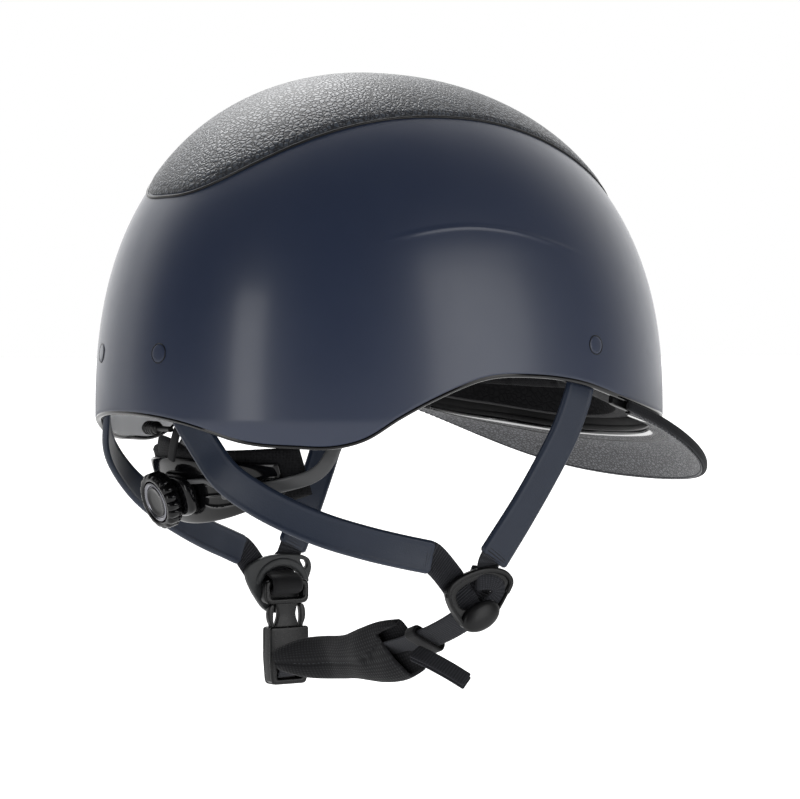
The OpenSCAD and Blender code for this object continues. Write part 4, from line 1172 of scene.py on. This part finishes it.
def arc_sheet(half, r0, r1, lo, hi, columns, rows, relief=None, crown=0.0, lean=0.0):
    """Closed curved sheet between two radii of the cradle; lean tips its top to the rear."""
    a = np.linspace(half, -half, columns)[:, None]
    f = np.linspace(0, 1, rows)[None, :]
    low, high = lo(np.abs(a)), hi(np.abs(a))
    z = low + (high - low) * f
    round_off = (1 - np.abs(2 * f - 1) ** 8) ** 0.5 * (1 - np.abs(a / half) ** 30) ** 0.5
    mid = (r0 + r1) / 2
    out_r = mid + (r1 - mid) * round_off + (relief(a, z) * round_off if relief else 0)
    puff = (1 - np.abs(2 * f - 1) ** 3) * crown
    in_r = mid - (mid - r0) * round_off - puff * round_off
    tip = lean * np.maximum(0, z - 15)
    outer = at_cradle(arc_pt(a, out_r + tip, z))
    inner = at_cradle(arc_pt(a, in_r + tip, z))
    lay = np.stack(np.broadcast_arrays(a * pi / 180 * r1, z, 0 * z), -1)
    return lathe_grid(np.concatenate([outer, inner[:, ::-1]], axis=1),
                      np.concatenate([lay, lay[:, ::-1]], axis=1))


piece("cradle_moulding", "cradle", GLOSS,
      arc_sheet(44, CRADLE_R, CRADLE_R + 2.2, lambda a: -15 + 9 * (a / 44) ** 2,
                lambda a: 17 - 9 * (a / 44) ** 1.5, 200, 96, cradle_ribs),
      ["cradle_shell"], crease=60)


def pad_top(a):
    hump = 7.5 * np.cos(pi / 2 * np.minimum(1, a / 11)) ** 1.2
    return 20.5 + hump - 8 * (a / 52) ** 1.5


pad_columns, pad_height = 170, 26
cradle_cushion = piece(
    "cradle_cushion", "cradle", LINING,
    arc_sheet(52, CRADLE_R - 4.2, CRADLE_R - 0.3, lambda a: -13 + 3 * (a / 52) ** 2, pad_top,
              pad_columns, pad_height, crown=0.8, lean=0.35), ["cradle_pad"], crease=70)
held = [i for i in range(pad_columns * pad_height * 2) if i % (2 * pad_height) < pad_height]
inflate(cradle_cushion, held, 2.5, 1.0)

boss = rounded([(-18, -6.5), (-11, -9.6), (11, -9.6), (18, -6.5), (18, 6.5), (11, 9.6), (-11, 9.6),
                (-18, 6.5)], 6, 7)
piece("dial_boss", "cradle", GLOSS, plate(boss, [], 5.7, 2.2, on_axis(2.1 + 5.7 / 2)),
      ["dial_housing"])


def grips(a, k):
    """Eighteen rounded grips round the dial's edge."""
    bite = np.abs(np.sin(9 * a)) ** 0.7
    return 1 - (0.075 * (1 - bite) if 1 <= k <= 5 else 0)


knob_profile = [(12.2, 0.2), (12.9, 0.8), (13.3, 1.6), (13.3, 5.4), (13.0, 6.5), (12.3, 7.2),
                (11.6, 7.5), (10.6, 7.5), (10.0, 7.2), (9.7, 6.6), (9.6, 4.5), (5, 4.45)]
piece("dial_grip", "dial", GLOSS, lathe(knob_profile, on_axis(8), 216, lobes=grips),
      ["dial_knob"], crease=50)
piece("dial_bezel", "dial", DARK_METAL,
      lathe([(7.2, 0.1), (9.3, 0.1), (9.4, 0.8), (9.1, 1.5), (8.3, 1.75), (7.6, 1.4), (7.3, 0.8)],
            on_axis(13.6), 96), ["dial_ring"])
piece("dial_face", "dial", GLOSS,
      lathe([(7.0, 0.0), (7.05, 1.0), (6.8, 1.3), (6.3, 1.25), (5.6, 0.9), (4.0, 0.75), (0.1, 0.7)],
            on_axis(13.7), 72), ["dial_cap"])

ARM_PATH = ((24, 5.1, 0), (32, 5, -1), (40, 4.6, -1.4), (46.5, 4.2, -1.4), (50, 3.5, -1.4),
            (54, 2.1, -1), (57.5, 1.2, 0.8), (61, 0, 4.6), (65, -3.2, 10.4), (68.4, -6.2, 16.4),
            (71.6, -8.4, 23), (74.6, -10.4, 30))


def radial(p):
    return p * (1, 1, 0)


def band(s):
    """A rack with its teeth and the arm that joins it; s = 1 is the wearer's left."""
    rack_r, rack_mid = CRADLE_R + 5.1, PINION_R + 2.05
    rack = []
    for a in np.arange(26, -11.1, -1.2) * s:
        lift = 1 if abs(a) < 18 or a * s < 0 else (26 - abs(a)) / 8
        rack.append(arc_pt(a, rack_r, -s * rack_mid * lift))
    rack = np.array(rack)
    arm_line = smooth_path([arc_pt(s * a, CRADLE_R + r, z) for a, r, z in ARM_PATH], 1.2)
    shapes = [sweep(rack, radial(rack), oval_section(2.2, BAND_T, 4, count=20)),
              sweep(arm_line, radial(arm_line), oval_section(ARM_W, BAND_T + 0.4, 4, count=32))]
    pitch = 360 / TEETH * PINION_R / rack_r
    for k in range(-3, 5):
        tooth = rounded([(-0.85, -s * 1.0), (-0.38, s * 0.62), (0.38, s * 0.62),
                         (0.85, -s * 1.0)][::s], 0.2, 3)
        place = (Matrix.Rotation(radians(-s * k * pitch), 4, "Z")
                 @ Matrix.Translation((0, rack_r, -s * PINION_R))
                 @ Matrix.Rotation(radians(90), 4, "X"))
        shapes.append(plate(tooth, [], BAND_T, 0.1, place))
    return [(at_cradle(v), f, l) for v, f, l in shapes]


for s, label in ((-1, "right"), (1, "left")):
    piece(f"arm_{label}", f"band_{label}", ARM_GREY, band(s), [f"rack_band_{label}"])
    pin = (CRADLE @ Matrix.Rotation(radians(-s * 30), 4, "Z")
           @ Matrix.Translation((0, CRADLE_R + 3.6, -0.8)) @ Matrix.Rotation(radians(-90), 4, "X"))
    piece(f"arm_rivet_{label}", f"band_{label}", STEEL,
          lathe([(1.1, 0), (1.1, 2.2), (2.3, 2.4), (2.35, 2.8), (1.9, 3.3), (1.0, 3.6),
                 (0.1, 3.65)], pin, 48), [f"band_pin_{label}"])

# ---------------------------------------------------------------- cradle suspension

hang = smooth_path([(-11, 120.6, -23), (-12.6, 120.4, -17), (-14, 119.6, -11), (-14.5, 117.2, -4),
                    (-14, 115.8, 4), (-13, 115.6, 12)], 0.8)
piece("hanger_tape", "helmet", TAPE, sweep(hang, (0, 1, 0), oval_section(6, 1.4, 8, count=28)),
      ["hanger_strap"])
toggle_place = (Matrix.Translation((5, 118.6, -9.6)) @ Matrix.Rotation(radians(-8), 4, "Z")
                @ Matrix.Rotation(radians(90), 4, "Y"))
toggle_profile = [(0.1, -16), (1.3, -15.9), (1.3, -0.4), (2.2, 0), (2.6, 0.6)]
for k in range(4):
    z = 2.6 + 3 * k
    toggle_profile += [(2.6, z - 0.3), (3.2, z + 0.1), (3.3, z + 0.8), (3.2, z + 1.5),
                       (2.6, z + 1.9)]
toggle_profile += [(2.5, 15.4), (1.6, 16), (0.1, 16)]
piece("hanger_cord_toggle", "helmet", MOULDED, lathe(toggle_profile, toggle_place, 48),
      ["hanger_toggle"])

# ---------------------------------------------------------------- CAD nodes that stay

for name, material, bevel in (
        ("hanger_clip", MOULDED, 0.7), ("temple_guide_right", MOULDED, 0.8),
        ("temple_guide_left", MOULDED, 0.8), ("dial_pinion", ARM_GREY, 0.1),
        ("dial_screw", STEEL, 0.2), ("strap_anchor_backs", STEEL, 0.15)):
    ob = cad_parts[name]
    if not ob.material_slots:
        ob.data.materials.append(None)
    for socket in ob.material_slots:
        socket.link = "OBJECT"
        socket.material = material
    soften = ob.modifiers.new("soften", "BEVEL")
    soften.width, soften.segments, soften.limit_method = bevel * MM, 3, "ANGLE"

# ---------------------------------------------------------------- stage, light, camera


def area_light(name, position, target, size, power, colour=(1, 1, 1)):
    light = bpy.data.lights.new(name, "AREA")
    light.shape, light.size, light.size_y = "RECTANGLE", size[0], size[1]
    light.energy, light.color = power, colour
    ob = bpy.data.objects.new(name, light)
    bpy.context.scene.collection.objects.link(ob)
    ob.location = position
    aim = Vector(target) - Vector(position)
    ob.rotation_euler = aim.to_track_quat("-Z", "Y").to_euler()
    return ob


floor_mesh = bpy.data.meshes.new("floor")
floor_size, floor_z = 80.0, -0.42
floor_mesh.from_pydata([(-floor_size, -floor_size, floor_z), (floor_size, -floor_size, floor_z),
                        (floor_size, floor_size, floor_z), (-floor_size, floor_size, floor_z)],
                       [], [(0, 1, 2, 3)])
floor = bpy.data.objects.new("floor", floor_mesh)
bpy.context.scene.collection.objects.link(floor)
FLOOR_GLOW = 0.3
paper = Shade("paper", Base_Color=(0.9, 0.9, 0.9, 1), Roughness=0.9, Specular_IOR_Level=0.1,
              Emission_Color=(1, 1, 1, 1))
paper.rough(paper.noise(60), 0.86, 0.94)
seen = paper.node("LightPath").outputs["Is Camera Ray"]
paper.link(paper.ramp(seen, 0, 1, FLOOR_GLOW, 1.0), paper.bsdf.inputs["Emission Strength"])
floor_mesh.materials.append(paper.material)

scene = bpy.context.scene
world = bpy.data.worlds.new("studio")
scene.world = world
world.use_nodes = True
CAMERA_AT = Vector((-1.16956, 0.75064, 0.02881))
CAMERA_RIGHT = Vector((-0.545, -0.8386, 0)).normalized()
CAMERA_BACK = Vector((-0.8384, 0.545, 0.019)).normalized()
camera_up = CAMERA_BACK.cross(CAMERA_RIGHT).normalized()
camera = bpy.data.objects.new("camera", bpy.data.cameras.new("camera"))
scene.collection.objects.link(camera)
turn = Matrix((CAMERA_RIGHT, camera_up, CAMERA_BACK)).transposed().to_4x4()
camera.matrix_world = Matrix.Translation(CAMERA_AT) @ turn
camera.data.lens, camera.data.sensor_width = 131.14, 36
camera.data.clip_start = 0.05
scene.camera = camera
scene.view_settings.view_transform = "Standard"


# brightness of the room and of its far wall, and where the wall begins and is full
ROOM, WALL, WALL_FROM, WALL_TO = 0.12, 1.6, 0.0, 0.8


def studio(tree):
    """White backdrop to the eye; a dim room with a bright wall beyond the object as light."""
    new = tree.nodes.new
    ray, direction = new("ShaderNodeLightPath"), new("ShaderNodeTexCoord")
    toward = new("ShaderNodeVectorMath")
    toward.operation = "DOT_PRODUCT"
    toward.inputs[1].default_value = tuple(-CAMERA_BACK)
    wall = new("ShaderNodeMapRange")
    wall.interpolation_type = "SMOOTHSTEP"
    for key, value in (("From Min", WALL_FROM), ("From Max", WALL_TO), ("To Min", ROOM),
                       ("To Max", WALL)):
        wall.inputs[key].default_value = value
    eye = new("ShaderNodeMix")
    eye.inputs["B"].default_value = 1.0
    tree.links.new(direction.outputs["Generated"], toward.inputs[0])
    tree.links.new(toward.outputs["Value"], wall.inputs["Value"])
    tree.links.new(ray.outputs["Is Camera Ray"], eye.inputs["Factor"])
    tree.links.new(wall.outputs["Result"], eye.inputs["A"])
    tree.links.new(eye.outputs["Result"], tree.nodes["Background"].inputs["Strength"])
    tree.nodes["Background"].inputs["Color"].default_value = (1, 1, 1, 1)


studio(world.node_tree)
area_light("rear_quarter", (-0.86, 1.46, 0.22), (0, 0, 0.02), (0.5, 1.0), 6)
area_light("side", (-1.5, -0.72, 0.28), (0, 0, 0.02), (0.7, 1.1), 8)
area_light("overhead", (0.9, -0.1, 1.5), (0, 0, 0.05), (1.3, 1.3), 30)
